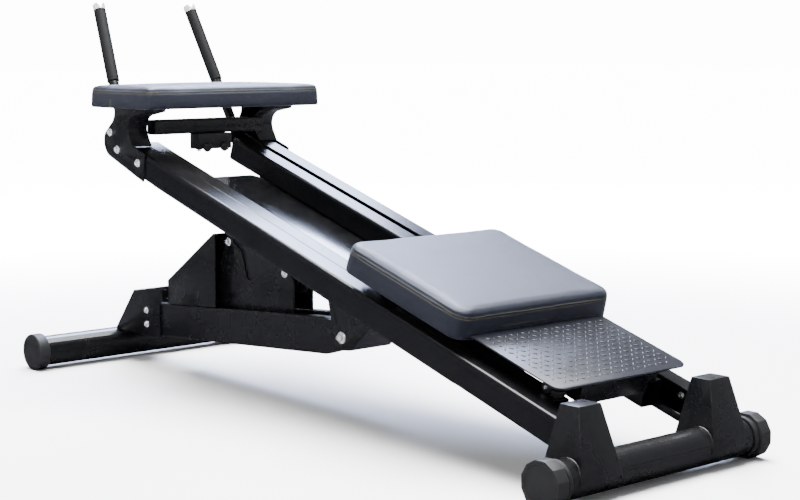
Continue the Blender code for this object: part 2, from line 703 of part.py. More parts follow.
def foot_plate():
    """A tread plate on two ribs."""
    low = tray_height() + TRAY_THICKNESS + GAP
    end = KNEE_PAD_START - 0.0005
    half = FOOT_PLATE_HALF_WIDTH
    corner = FOOT_PLATE_CORNER
    outline = arc((-half + corner, FOOT_PLATE_START + corner), corner, 180, 270, 4)
    outline += arc((half - corner, FOOT_PLATE_START + corner), corner, 270, 360, 4)
    outline += [(half, end), (-half, end)]
    plate = sheet(outline, low + FOOT_PLATE_RAISE, low + FOOT_PLATE_RAISE + SHEET)
    ribs = []
    for _, sign in SIDES:
        span = across(FOOT_RIB_X, FOOT_RIB_X + FOOT_RIB_WIDTH, sign)
        ribs.append(box((span[0], TRAY_START + 0.003, low), (span[1], end - 0.005, low + FOOT_PLATE_RAISE + SHEET / 2)))
    piece("foot_plate", plate, BLACK_STEEL, rail_place(), adds=ribs)


# Pivot

def pivot_point():
    """World (y, z) of the base's pivot."""
    return rail_point(PIVOT_S, -PIVOT_DROP)


def pivot_bracket():
    """A folded bracket under the pan: two ears for the pivot bolt and a web on their low side."""
    top = -PAN_THICKNESS - 2 * GAP
    pivot = (PIVOT_S, -PIVOT_DROP)
    low_s = PIVOT_S - PIVOT_REACH_LOW
    web_foot = arc(pivot, PIVOT_WEB_REACH, 208, 208, 1)[0]
    eye = arc(pivot, PIVOT_EYE, 245, 350, 7)
    ear = [(PIVOT_S + PIVOT_REACH_HIGH, top), (low_s, top), web_foot] + eye
    ears = [slab(ear, *across(PIVOT_HALF_WIDTH - SHEET, PIVOT_HALF_WIDTH, sign)) for _, sign in SIDES]
    fold = SHEET / math.sin(math.atan2(top - web_foot[1], web_foot[0] - low_s))
    outline = [(low_s, top), (low_s + fold, top), (web_foot[0] + fold, web_foot[1]), web_foot]
    web = slab(outline, -PIVOT_HALF_WIDTH + SHEET / 2, PIVOT_HALF_WIDTH - SHEET / 2)
    hole = rod(PIVOT_BOLT_RADIUS + GAP, -0.1, 0.1, 24, PIVOT_S, -PIVOT_DROP)
    piece("pivot_bracket", web, BLACK_PAINT, rail_place(), adds=ears, cuts=(hole,))


def pivot_bolt():
    bm = hex_bolt(PIVOT_HALF_WIDTH + GAP, PIVOT_BOLT_RADIUS, 0.014, both_ends=True)
    piece("pivot_bolt", bm, ZINC, Matrix.Translation((0, *pivot_point())))


def base_spacer():
    """The bush between the two beams, round the pivot bolt."""
    reach = beam_span()[0] - GAP
    bore = PIVOT_BOLT_RADIUS + RUN_GAP
    profile = [(-reach, SPACER_RADIUS), (reach, SPACER_RADIUS), (reach, bore), (-reach, bore)]
    piece("pivot_bush", turned(profile, 24), BLACK_PAINT, Matrix.Translation((0, *pivot_point())), smooth=True)


# Base

def beam_span():
    """Inner and outer distance of a beam from the centre plane."""
    outer = PIVOT_HALF_WIDTH - SHEET - 2 * GAP
    return outer - BEAM_WIDTH, outer


def beam_slope():
    """The beams' slope and their length from the pivot to their front end."""
    y, z = pivot_point()
    run = FRONT_Y - BEAM_END_BACK - y
    drop = z - BEAM_END_HEIGHT
    return math.atan2(-drop, run), math.hypot(run, drop)


def base_beam(name, sign):
    """A box beam whose rear end is rounded about the pivot. Its own frame starts at the pivot."""
    angle, length = beam_slope()
    half = BEAM_HEIGHT / 2
    outline = [(length, -half), (length, half), (BEAM_TAPER, half)]
    outline += arc((0, 0), BEAM_EYE, 110, 250, 8)
    outline += [(BEAM_TAPER, -half)]
    bm = slab(outline, *across(*beam_span(), sign))
    corners = [e for e in bm.edges if abs(e.verts[0].co.x - e.verts[1].co.x) < 1e-6
               and min(abs(v.co.z) for v in e.verts) > half - 1e-6]
    bmesh.ops.bevel(bm, geom=corners, offset=BEAM_ROUND, segments=3, affect="EDGES", profile=0.5)
    hole = rod(PIVOT_BOLT_RADIUS + RUN_GAP, -0.1, 0.1, 24)
    inner, outer = across(beam_span()[0] + BEAM_WALL, beam_span()[1] - BEAM_WALL, sign)
    room = half - BEAM_WALL
    bore = box((inner, BEAM_TAPER, -room), (outer, length + BEAM_WALL, room))
    place = Matrix.Translation((0, *pivot_point())) @ Matrix.Rotation(angle, 4, "X")
    piece(name, bm, BLACK_PAINT, place, cuts=(hole, bore), smooth=True)


def front_bracket():
    """A sloping web on the foot tube, with a flange on the outside of each beam and a saddle between them."""
    outer = PIVOT_HALF_WIDTH + GAP
    beam_outer = beam_span()[1] + GAP
    angle, _ = beam_slope()
    end_y = FRONT_Y - BEAM_END_BACK + BEAM_HEIGHT / 2 * abs(math.sin(angle)) + GAP
    tube_top = CAP_RADIUS + TUBE_RADIUS
    top = tube_top + BASE_WEB_RISE
    web_line = [(FRONT_Y - 0.004, tube_top - 0.006), (end_y + 0.003, top)]
    web = slab(band(web_line, -SHEET), -outer, outer)
    low = BASE_FLANGE_LOW
    flanges = []
    for _, sign in SIDES:
        outline = [(end_y - BASE_FLANGE_LENGTH, low), (FRONT_Y - 0.050, low), (FRONT_Y - 0.010, tube_top)]
        outline += [(end_y + 0.004, top - 0.002), (end_y - BASE_FLANGE_LENGTH - 0.012, top + 0.020)]
        outline += [(end_y - BASE_FLANGE_LENGTH - 0.012, top - 0.012), (end_y - BASE_FLANGE_LENGTH, top - 0.020)]
        flanges.append(slab(outline, *across(beam_outer, outer, sign)))
    saddle_outline = [(end_y + 0.002, low), (FRONT_Y - 0.040, low), (FRONT_Y - 0.006, tube_top)]
    saddle_outline += [(end_y + 0.006, top - 0.010)]
    saddle = slab(saddle_outline, -SADDLE_HALF_WIDTH, SADDLE_HALF_WIDTH)
    plate = box((-outer + 0.001, end_y, low), (outer - 0.001, end_y + SHEET, top - 0.006))
    tube = rod(TUBE_RADIUS + GAP, -0.4, 0.4, ROUND_SIDES, FRONT_Y, CAP_RADIUS)
    piece("front_bracket", web, BLACK_PAINT, adds=(plate, *flanges, saddle), cuts=(tube,))


def beam_top(y):
    """World z of the beams' top, with clearance, at a distance y from the pivot."""
    angle, _ = beam_slope()
    return pivot_point()[1] + math.tan(angle) * y + BEAM_HEIGHT / 2 / math.cos(angle) + GAP


def tower():
    """A folded upright on the beams, open towards the pivot."""
    y, z = pivot_point()
    shoulder, top = z + TOWER_SHOULDER, z + TOWER_TOP
    outline = [(TOWER_BACK, beam_top(TOWER_BACK)), (TOWER_FRONT, beam_top(TOWER_FRONT)), (TOWER_FRONT, shoulder)]
    outline += [(TOWER_BACK + 0.007, top), (TOWER_BACK, top)]
    half = beam_span()[1]
    inner_front = TOWER_FRONT - SHEET
    hollow = [(TOWER_BACK - 0.01, beam_top(TOWER_BACK) - 0.01), (inner_front, beam_top(TOWER_FRONT) - 0.01)]
    hollow += [(inner_front, shoulder - SHEET / 2), (TOWER_BACK + 0.001, top + 0.0005), (TOWER_BACK - 0.01, top + 0.01)]
    piece("incline_tower", slab(outline, -half, half), BLACK_PAINT, Matrix.Translation((0, y, 0)),
          cuts=(slab(hollow, -half + SHEET, half - SHEET),))


def saddle_plate(name, sign):
    """A plate on a beam with an ear for each clamp bolt and a dip between them. Its frame is the pivot's."""
    z = pivot_point()[1]
    far, near = CLAMP_PLACES
    back = near[0] - 0.031
    outline = [(back, beam_top(back) - z), (SADDLE_FRONT, beam_top(SADDLE_FRONT) - z)]
    outline += [(SADDLE_FRONT, TOWER_SHOULDER), (far[0] + EAR_RADII[0] + 0.004, far[1] - 0.030)]
    outline += arc(far, EAR_RADII[0], 0, 180, 8) + list(VALLEY)
    outline += arc(near, EAR_RADII[1], 60, 150, 5) + [(back, near[1] - 0.020)]
    holes = [rod(CLAMP_RADIUS + GAP, -0.1, 0.1, 16, *place) for place in CLAMP_PLACES]
    span = across(SADDLE_PLATE_X, SADDLE_PLATE_X + SHEET, sign)
    piece(name, slab(outline, *span), BLACK_PAINT, Matrix.Translation((0, *pivot_point())), cuts=holes)


def slot_outline(place, half):
    """An arc slot about the pivot, from a clamp bolt's rest place down through the incline's range."""
    radius = math.hypot(*place)
    top = math.degrees(math.atan2(place[1], place[0]))
    bottom = top - math.degrees(INCLINE_RANGE)
    foot = arc((0, 0), radius, bottom, bottom, 1)[0]
    outline = arc((0, 0), radius + half, bottom, top, 6)
    outline += arc(place, half, top, top + 180, 6)[1:-1]
    outline += arc((0, 0), radius - half, top, bottom, 6)
    outline += arc(foot, half, bottom + 180, bottom + 360, 6)[1:-1]
    return outline


def hanger():
    """A folded channel under the pan, between the saddle plates. The clamp bolts slide in its arc slots."""
    y, z = pivot_point()
    half = CLAMP_RADIUS + RUN_GAP
    far_slot, near_slot = [slot_outline(place, half) for place in CLAMP_PLACES]
    far_low = min(far_slot, key=lambda point: point[1])
    near_low = min(near_slot, key=lambda point: point[1])
    front_head = CLAMP_PLACES[0][0] + half + HANGER_MARGIN
    front_foot = far_low[0] + half + HANGER_MARGIN
    back = CLAMP_PLACES[1][0] - half - HANGER_MARGIN

    def under_pan(at):
        """Height above the pivot of the pan's underside."""
        low = rail_place(0, 0, -PAN_THICKNESS - 2 * GAP).translation
        return low.z + math.tan(SLOPE) * (at + y - low.y) - z

    outline = [(back, under_pan(back)), (back, near_low[1] - HANGER_MARGIN / 2), (near_low[0], near_low[1] - HANGER_MARGIN)]
    outline += [(far_low[0], far_low[1] - HANGER_MARGIN), (front_foot, far_low[1] - HANGER_MARGIN / 2)]
    outline += [(front_head, CLAMP_PLACES[0][1] + half), (front_head, under_pan(front_head))]
    wall = SADDLE_PLATE_X - RUN_GAP
    floor = [(back - 0.01, under_pan(back - 0.01) - SHEET), (back - 0.01, -0.1), (front_foot + 0.1, -0.1)]
    floor += [(front_foot + 0.1, under_pan(front_foot + 0.1) - SHEET)]
    hollow = slab(floor, -wall + SHEET, wall - SHEET)
    slots = [slab(slot, -0.1, 0.1) for slot in (far_slot, near_slot)]
    piece("incline_hanger", slab(outline, -wall, wall), BLACK_STEEL, Matrix.Translation((0, *pivot_point())),
          cuts=(hollow, *slots))


def clamp_bolt(name, place):
    y, z = pivot_point()
    bm = hex_bolt(SADDLE_PLATE_X + SHEET + GAP, CLAMP_RADIUS, 0.010, both_ends=True)
    piece(name, bm, ZINC, Matrix.Translation((0, y + place[0], z + place[1])))


def build_feet():
    foot_tube("rear_foot_tube", REAR_Y)
    foot_tube("front_foot_tube", FRONT_Y)
    for side, sign in SIDES:
        foot_cap(f"rear_cap_{side}", sign, REAR_Y, REAR_CAP_SIDES, collar=True)
        foot_cap(f"front_cap_{side}", sign, FRONT_Y, ROUND_SIDES)


def build_rail_frame():
    for side, sign in SIDES:
        side_rail(f"rail_{side}", sign)
        track(f"track_{side}", sign)
        track_tie(f"track_tie_{side}", sign)
        low_stop(f"low_stop_{side}", sign)
        rear_bracket(f"rear_bracket_{side}", sign)
    belly_pan()


def build_head():
    cross_tube()
    stop_block()
    forearm_pad()
    for side, sign in SIDES:
        cheek(f"cheek_{side}", sign)
        bumper(f"bumper_{side}", sign)
        grip(side, sign)
        for index, place in enumerate(cheek_bolt_places(), 1):
            cheek_bolt(f"cheek_bolt_{side}_{index}", sign, place)


def build_carriage():
    tray()
    knee_pad()
    foot_plate()
    for level, s in zip(("low", "high"), axle_places()):
        axle(f"axle_{level}", s)
        for side, sign in SIDES:
            roller(f"roller_{level}_{side}", sign, s)


def build_base():
    pivot_bracket()
    pivot_bolt()
    base_spacer()
    front_bracket()
    tower()
    hanger()
    for side, sign in SIDES:
        base_beam(f"base_beam_{side}", sign)
        saddle_plate(f"saddle_plate_{side}", sign)
    for level, place in zip(("far", "near"), CLAMP_PLACES):
        clamp_bolt(f"clamp_bolt_{level}", place)


clear_scene()
build_feet()
build_rail_frame()
build_head()
build_carriage()
build_base()
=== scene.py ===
"""Looks of a sliding abdominal trainer: painted steel, stitched pads, rubber feet, bright fasteners."""

import json
import logging
import math
from dataclasses import dataclass
from enum import Enum
from typing import Callable, Iterable, Sequence

import bmesh
import bpy
import numpy as np
from mathutils import Matrix, Vector
from mathutils.bvhtree import BVHTree


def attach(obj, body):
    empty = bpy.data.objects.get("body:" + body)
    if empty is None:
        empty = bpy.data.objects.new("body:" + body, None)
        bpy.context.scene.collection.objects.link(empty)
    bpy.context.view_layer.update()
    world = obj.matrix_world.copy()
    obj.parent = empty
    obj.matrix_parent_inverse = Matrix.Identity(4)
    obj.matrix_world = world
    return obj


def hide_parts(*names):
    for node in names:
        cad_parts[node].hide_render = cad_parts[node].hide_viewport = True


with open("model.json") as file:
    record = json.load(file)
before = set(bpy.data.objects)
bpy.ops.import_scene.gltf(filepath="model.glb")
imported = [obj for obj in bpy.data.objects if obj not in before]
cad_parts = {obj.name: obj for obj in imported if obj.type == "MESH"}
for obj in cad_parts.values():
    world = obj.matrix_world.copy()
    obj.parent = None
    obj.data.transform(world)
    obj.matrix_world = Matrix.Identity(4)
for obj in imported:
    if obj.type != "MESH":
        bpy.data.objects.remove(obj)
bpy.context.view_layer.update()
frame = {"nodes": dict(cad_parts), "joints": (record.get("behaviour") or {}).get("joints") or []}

LOG = logging.getLogger("trainer")
SLIDE_AXIS = Vector(next(joint["axis"] for joint in frame["joints"] if joint["name"] == "carriage_slide"))
SLOPE = math.atan2(SLIDE_AXIS.z, SLIDE_AXIS.y)
RAIL_TURN = Matrix.Rotation(SLOPE, 4, "X")
LEVEL = Matrix.Identity(4)
SIDES: tuple[tuple[str, int], ...] = (("left", -1), ("right", 1))
RGB = tuple[float, float, float]
ROOM_LIGHT = 0.45  # the room's brightness in reflections
BACKDROP_LIGHT = 14.0  # how much brighter the backdrop and the far floor look
GLOW_START = 1.3  # metres from the middle where the floor starts to glow
GLOW_FULL = 4.2


class Body(Enum):
    """The bodies that pieces ride on."""

    FRAME = "main_frame"
    CARRIAGE = "carriage"
    BASE = "base"


# Shading


class Graph:
    """A node tree with short calls to add and join nodes."""

    def __init__(self, tree: bpy.types.NodeTree) -> None:
        """Args: tree: the node tree to fill."""
        self.tree = tree

    def add(self, kind: str, values: dict[str | int, object] | None = None,
            **settings: object) -> bpy.types.Node:
        """Adds a node.

        Args:
            kind: the node's type, without its ShaderNode prefix.
            values: input name or index to a value or to an output socket.
            settings: the node's own settings.

        Returns:
            The new node.
        """
        node = self.tree.nodes.new("ShaderNode" + kind)
        for key, value in settings.items():
            setattr(node, key, value)
        return self.feed(node, values or {})

    def feed(self, node: bpy.types.Node, values: dict[str | int, object]) -> bpy.types.Node:
        """Sets or links a node's inputs.

        Args:
            node: the node.
            values: input name or index to a value or to an output socket.

        Returns:
            The same node.
        """
        for key, value in values.items():
            if isinstance(value, bpy.types.NodeSocket):
                self.tree.links.new(value, node.inputs[key])
            else:
                node.inputs[key].default_value = value
        return node

    def math(self, operation: str, *values: object, clamp: bool = False) -> bpy.types.NodeSocket:
        """Adds a Math node.

        Args:
            operation: its operation.
            values: its inputs, as numbers or sockets.
            clamp: keeps the result in 0 to 1.

        Returns:
            Its output.
        """
        return self.add("Math", dict(enumerate(values)), operation=operation, use_clamp=clamp).outputs[0]

    def blend(self, share: object, first: object, second: object) -> bpy.types.NodeSocket:
        """Mixes two colours.

        Args:
            share: how much of the second.
            first: a colour or socket.
            second: a colour or socket.

        Returns:
            The mixed colour.
        """
        return self.add("Mix", {0: share, 6: first, 7: second}, data_type="RGBA").outputs[2]

    def group(self, tree: bpy.types.NodeTree, values: dict[str, object]) -> bpy.types.Node:
        """Places a node group.

        Args:
            tree: the group.
            values: input name to value or socket.

        Returns:
            The group node.
        """
        return self.add("Group", values, node_tree=tree)


def open_group(name: str, inputs: dict[str, float],
               outputs: dict[str, str]) -> tuple[Graph, dict, bpy.types.Node]:
    """Starts a shader node group.

    Args:
        name: the group's name.
        inputs: number inputs and their defaults.
        outputs: output names and their socket types.

    Returns:
        The graph, the group's inputs by name, and its output node.
    """
    tree = bpy.data.node_groups.new(name, "ShaderNodeTree")
    for label, default in inputs.items():
        socket = tree.interface.new_socket(label, in_out="INPUT", socket_type="NodeSocketFloat")
        socket.default_value = default
    for label, kind in outputs.items():
        tree.interface.new_socket(label, in_out="OUTPUT", socket_type=kind)
    graph = Graph(tree)
    entry = tree.nodes.new("NodeGroupInput")
    return graph, {label: entry.outputs[label] for label in inputs}, tree.nodes.new("NodeGroupOutput")


class Effects:
    """The shader node groups that several finishes share."""

    def __init__(self) -> None:
        """Builds each group once."""
        self.edges = self._edges()
        self.grain = self._grain()
        self.dust = self._dust()

    @staticmethod
    def _edges() -> bpy.types.NodeTree:
        """Returns: a group with a rounded normal and a mask of worn edges."""
        graph, entry, out = open_group(
            "worn edges", {"Radius": 0.0012, "Breakup": 60.0},
            {"Mask": "NodeSocketFloat", "Normal": "NodeSocketVector"})
        soft = graph.add("Bevel", {"Radius": entry["Radius"]}, samples=6)
        flat = graph.add("NewGeometry")
        dot = graph.add("VectorMath", {0: soft.outputs[0], 1: flat.outputs["Normal"]},
                        operation="DOT_PRODUCT")
        bend = graph.math("SUBTRACT", 1.0, dot.outputs["Value"])
        place = graph.add("TexCoord")
        noise = graph.add("TexNoise", {"Vector": place.outputs["Object"], "Scale": entry["Breakup"],
                                       "Detail": 4.0})
        patch = graph.add("MapRange", {0: noise.outputs[0], 1: 0.48, 2: 0.66})
        steep = graph.math("MULTIPLY", bend, 9.0, clamp=True)
        worn = graph.math("MULTIPLY", steep, patch.outputs[0], clamp=True)
        graph.tree.links.new(worn, out.inputs["Mask"])
        graph.tree.links.new(soft.outputs[0], out.inputs["Normal"])
        return graph.tree

    @staticmethod
    def _grain() -> bpy.types.NodeTree:
        """Returns: a group with a fine height and a broad blotch."""
        graph, entry, out = open_group(
            "fine grain", {"Scale": 900.0, "Broad": 9.0},
            {"Height": "NodeSocketFloat", "Blotch": "NodeSocketFloat"})
        place = graph.add("TexCoord").outputs["Object"]
        fine = graph.add("TexNoise", {"Vector": place, "Scale": entry["Scale"], "Detail": 2.0})
        broad = graph.add("TexNoise", {"Vector": place, "Scale": entry["Broad"], "Detail": 5.0,
                                       "Roughness": 0.6})
        graph.tree.links.new(fine.outputs[0], out.inputs["Height"])
        graph.tree.links.new(broad.outputs[0], out.inputs["Blotch"])
        return graph.tree

    @staticmethod
    def _dust() -> bpy.types.NodeTree:
        """Returns: a group with a mask of dust on what faces up."""
        graph, entry, out = open_group("settled dust", {"Amount": 0.1}, {"Mask": "NodeSocketFloat"})
        normal = graph.add("SeparateXYZ", {0: graph.add("NewGeometry").outputs["Normal"]})
        up = graph.add("MapRange", {0: normal.outputs["Z"], 1: 0.55, 2: 0.98})
        place = graph.add("TexCoord").outputs["Object"]
        noise = graph.add("TexNoise", {"Vector": place, "Scale": 26.0, "Detail": 7.0, "Roughness": 0.7})
        patch = graph.add("MapRange", {0: noise.outputs[0], 1: 0.42, 2: 0.75})
        settled = graph.math("MULTIPLY", up.outputs[0], patch.outputs[0])
        mask = graph.math("MULTIPLY", settled, entry["Amount"])
        graph.tree.links.new(mask, out.inputs["Mask"])
        return graph.tree


EFFECTS = Effects()


@dataclass(frozen=True)
class Finish:
    """A hard finish: paint, plated steel, rubber or plastic."""

    name: str
    slot: str
    colour: RGB
    roughness: float
    metallic: float = 0.0
    coat: float = 0.0
    grain_scale: float = 900.0
    grain_depth: float = 0.00003
    variation: float = 0.08
    worn_colour: RGB = (0.012, 0.013, 0.016)
    wear: float = 0.35
    dust: float = 0.012
    edge_radius: float = 0.0011
    specular: float = 0.4

    def material(self) -> bpy.types.Material:
        """Returns: the finish's material, made on first use."""
        known = bpy.data.materials.get(self.name)
        if known:
            return known
        material = bpy.data.materials.new(self.name)
        material.use_nodes = True
        graph = Graph(material.node_tree)
        shader = material.node_tree.nodes["Principled BSDF"]
        self.fill(graph, shader)
        return material

    def fill(self, graph: Graph, shader: bpy.types.Node) -> None:
        """Joins the finish's nodes to its shader.

        Args:
            graph: the material's nodes.
            shader: its Principled BSDF.
        """
        edges = graph.group(EFFECTS.edges, {"Radius": self.edge_radius})
        grain = graph.group(EFFECTS.grain, {"Scale": self.grain_scale})
        dust = graph.group(EFFECTS.dust, {"Amount": self.dust})
        lighter = tuple(min(1.0, value * 1.35 + 0.002) for value in self.colour)
        colour = graph.blend(grain.outputs["Blotch"], (*self.colour, 1.0), (*lighter, 1.0))
        worn = graph.math("MULTIPLY", edges.outputs["Mask"], self.wear)
        colour = graph.blend(worn, colour, (*self.worn_colour, 1.0))
        colour = graph.blend(dust.outputs["Mask"], colour, (0.42, 0.41, 0.39, 1.0))
        swing = graph.math("MULTIPLY", graph.math("SUBTRACT", grain.outputs["Blotch"], 0.5), self.variation)
        rough = graph.math("ADD", swing, self.roughness)
        rough = graph.math("ADD", rough, graph.math("MULTIPLY", dust.outputs["Mask"], 0.8), clamp=True)
        bump = graph.add("Bump", {"Height": grain.outputs["Height"], "Normal": edges.outputs["Normal"],
                                  "Distance": self.grain_depth})
        links = graph.tree.links
        links.new(colour, shader.inputs["Base Color"])
        links.new(rough, shader.inputs["Roughness"])
        links.new(bump.outputs[0], shader.inputs["Normal"])
        shader.inputs["Metallic"].default_value = self.metallic
        shader.inputs["Specular IOR Level"].default_value = self.specular
        shader.inputs["Coat Weight"].default_value = self.coat
        shader.inputs["Coat Roughness"].default_value = 0.12


@dataclass(frozen=True)
class Leather(Finish):
    """Grained synthetic leather, tight over foam."""

    cell_scale: float = 520.0
    cell_depth: float = 0.00022

    def fill(self, graph: Graph, shader: bpy.types.Node) -> None:
        """Joins the leather's grain to its shader.

        Args:
            graph: the material's nodes.
            shader: its Principled BSDF.
        """
        place = graph.add("TexCoord").outputs["Object"]
        warp = graph.add("TexNoise", {"Vector": place, "Scale": 160.0, "Detail": 2.0})
        bent = graph.add("VectorMath", {0: warp.outputs["Color"], 1: (0.0022, 0.0022, 0.0022)},
                         operation="MULTIPLY")
        moved = graph.add("VectorMath", {0: place, 1: bent.outputs[0]}, operation="ADD")
        cells = graph.add("TexVoronoi", {"Vector": moved.outputs[0], "Scale": self.cell_scale},
                          feature="DISTANCE_TO_EDGE")
        pebble = graph.add("MapRange", {0: cells.outputs["Distance"], 1: 0.0, 2: 0.32},
                           interpolation_type="SMOOTHSTEP")
        grain = graph.group(EFFECTS.grain, {"Scale": self.grain_scale, "Broad": 14.0})
        dust = graph.group(EFFECTS.dust, {"Amount": self.dust})
        # Painted shade: the grain's valleys get a darker colour, as if shade lay in its creases; the raised cells keep
        # the leather's own colour.
        shaded_valley = tuple(value * 0.55 for value in self.colour)
        colour = graph.blend(pebble.outputs[0], (*shaded_valley, 1.0), (*self.colour, 1.0))
        patchy = graph.math("MULTIPLY", grain.outputs["Blotch"], 0.35)
        colour = graph.blend(patchy, colour, (*self.worn_colour, 1.0))
        colour = graph.blend(dust.outputs["Mask"], colour, (0.36, 0.36, 0.38, 1.0))
        swing = graph.math("MULTIPLY", graph.math("SUBTRACT", grain.outputs["Blotch"], 0.5), self.variation)
        rough = graph.math("ADD", graph.math("MULTIPLY", pebble.outputs[0], -0.10), self.roughness + 0.08)
        rough = graph.math("ADD", rough, swing, clamp=True)
        height = graph.math("ADD", pebble.outputs[0], graph.math("MULTIPLY", grain.outputs["Height"], 0.35))
        bump = graph.add("Bump", {"Height": height, "Distance": self.cell_depth})
        links = graph.tree.links
        links.new(colour, shader.inputs["Base Color"])
        links.new(rough, shader.inputs["Roughness"])
        links.new(bump.outputs[0], shader.inputs["Normal"])
        shader.inputs["Sheen Weight"].default_value = 0.05
        shader.inputs["Sheen Roughness"].default_value = 0.45
        shader.inputs["Sheen Tint"].default_value = (0.72, 0.78, 1.0, 1.0)
        shader.inputs["Specular IOR Level"].default_value = 0.55
        shader.inputs["Specular Tint"].default_value = (0.70, 0.76, 1.0, 1.0)


@dataclass(frozen=True)
class Wood(Finish):
    """Plywood with long grain."""

    def fill(self, graph: Graph, shader: bpy.types.Node) -> None:
        """Joins the wood's figure to its shader.

        Args:
            graph: the material's nodes.
            shader: its Principled BSDF.
        """
        place = graph.add("TexCoord").outputs["Object"]
        long = graph.add("Mapping", {"Vector": place, "Scale": (6.0, 90.0, 90.0)})
        figure = graph.add("TexNoise", {"Vector": long.outputs[0], "Scale": 1.0, "Detail": 6.0})
        colour = graph.blend(figure.outputs[0], (*self.colour, 1.0), (*self.worn_colour, 1.0))
        bump = graph.add("Bump", {"Height": figure.outputs[0], "Distance": self.grain_depth})
        graph.tree.links.new(colour, shader.inputs["Base Color"])
        graph.tree.links.new(bump.outputs[0], shader.inputs["Normal"])
        shader.inputs["Roughness"].default_value = self.roughness


PAINT = Finish("gloss black powder coat", "black_paint", (0.0012, 0.0014, 0.0020), 0.27, coat=0.0,
               grain_scale=420.0, grain_depth=0.00005)
TRACK_PAINT = Finish("gloss black track", "black_paint", (0.0011, 0.0013, 0.0019), 0.24, coat=0.0,
                     grain_scale=300.0, grain_depth=0.00003, dust=0.01, specular=0.2)
PAN_PAINT = Finish("glossy black sheet", "black_paint", (0.0011, 0.0013, 0.0018), 0.17, coat=0.1,
                   grain_scale=240.0, grain_depth=0.00003, dust=0.01)
STEEL = Finish("dark satin steel", "black_steel", (0.004, 0.0044, 0.0056), 0.34, metallic=0.2, grain_scale=600.0,
               worn_colour=(0.05, 0.052, 0.06), wear=0.4)
TREAD = Finish("worn tread steel", "black_steel", (0.0075, 0.0085, 0.0135), 0.34, metallic=0.3, grain_scale=520.0,
               grain_depth=0.00006, worn_colour=(0.16, 0.17, 0.22), wear=0.7, variation=0.16)
RUBBER = Finish("moulded rubber", "rubber", (0.0045, 0.0047, 0.0055), 0.55, grain_scale=700.0, grain_depth=0.00012,
                worn_colour=(0.02, 0.02, 0.022), wear=0.3, dust=0.03, specular=0.3)
SLEEVE = Finish("soft grip rubber", "rubber", (0.0022, 0.0024, 0.0028), 0.62, grain_scale=1100.0,
                grain_depth=0.00016, wear=0.15, specular=0.12)
NYLON = Finish("black nylon", "nylon", (0.006, 0.006, 0.0065), 0.42, grain_scale=500.0, wear=0.2)
ZINC = Finish("bright zinc", "zinc", (0.86, 0.87, 0.90), 0.24, metallic=0.8, grain_scale=400.0,
              worn_colour=(0.34, 0.33, 0.31), wear=0.3, variation=0.14, edge_radius=0.0005)
CHROME = Finish("polished chrome", "chrome", (0.95, 0.95, 0.97), 0.12, metallic=0.75, grain_depth=0.000008,
                worn_colour=(0.5, 0.5, 0.5), wear=0.1, dust=0.0, edge_radius=0.0005)
LEATHER = Leather("black grained leather", "black_leather", (0.0030, 0.0035, 0.0066), 0.40, grain_scale=1500.0,
                  worn_colour=(0.0048, 0.0056, 0.0104), variation=0.12, dust=0.012)
THREAD = Finish("olive thread", "black_leather", (0.085, 0.078, 0.040), 0.66, grain_scale=3000.0, grain_depth=0.0001,
                worn_colour=(0.12, 0.11, 0.06), wear=0.1, dust=0.0, edge_radius=0.0001)
PLYWOOD = Wood("stained plywood", "plywood", (0.050, 0.036, 0.024), 0.75, worn_colour=(0.028, 0.019, 0.012),
               grain_depth=0.0001)


# Modelling


def alone(obj: bpy.types.Object) -> bpy.types.Object:
    """Selects one object and makes it active.

    Args:
        obj: the object.

    Returns:
        The same object.
    """
    bpy.ops.object.select_all(action="DESELECT")
    obj.select_set(True)
    bpy.context.view_layer.objects.active = obj
    return obj


def edit(obj: bpy.types.Object, *steps: Callable[[], object]) -> bpy.types.Object:
    """Runs edit-mode steps on an object's present selection.

    Args:
        obj: the object.
        steps: calls to make in edit mode.

    Returns:
        The object, back in object mode.
    """
    alone(obj)
    bpy.ops.object.mode_set(mode="EDIT")
    for step in steps:
        step()
    bpy.ops.object.mode_set(mode="OBJECT")
    return obj


def pick(obj: bpy.types.Object, kind: str, test: Callable[[Vector, Vector], bool]) -> None:
    """Selects faces or edges by their place and direction.

    Args:
        obj: the object.
        kind: FACE or EDGE.
        test: takes a face's centre and normal, or an edge's middle and unit direction.
    """
    mesh = obj.data
    bpy.context.tool_settings.mesh_select_mode = (False, kind == "EDGE", kind == "FACE")
    for group in (mesh.vertices, mesh.edges, mesh.polygons):
        group.foreach_set("select", [False] * len(group))
    if kind == "FACE":
        for face in mesh.polygons:
            face.select = test(face.center, face.normal)
        return
    for line in mesh.edges:
        first, second = (mesh.vertices[index].co for index in line.vertices)
        line.select = test((first + second) / 2, (second - first).normalized())


def set_place(obj: bpy.types.Object, place: Matrix) -> bpy.types.Object:
    """Moves a piece's mesh, so that its object stays at the origin.

    Args:
        obj: the piece.
        place: where its mesh goes.

    Returns:
        The same piece.
    """
    obj.data.transform(place)
    if place.determinant() < 0:
        obj.data.flip_normals()
    obj.data.update()
    return obj


def bare(obj: bpy.types.Object, name: str) -> bpy.types.Object:
    """Names a new primitive and puts its place into its mesh.

    Args:
        obj: the primitive.
        name: the piece's name.

    Returns:
        The same object.
    """
    obj.name = obj.data.name = name
    alone(obj)
    bpy.ops.object.transform_apply(location=True, rotation=True, scale=True)
    return obj


def block(name: str, low: Sequence[float], high: Sequence[float]) -> bpy.types.Object:
    """Adds a box.

    Args:
        name: its name.
        low: its lowest corner.
        high: its highest corner.

    Returns:
        The box.
    """
    bpy.ops.object.select_all(action="DESELECT")
    middle = [(a + b) / 2 for a, b in zip(low, high)]
    bpy.ops.mesh.primitive_cube_add(size=1.0, location=middle)
    obj = bpy.context.object
    obj.scale = [b - a for a, b in zip(low, high)]
    return bare(obj, name)


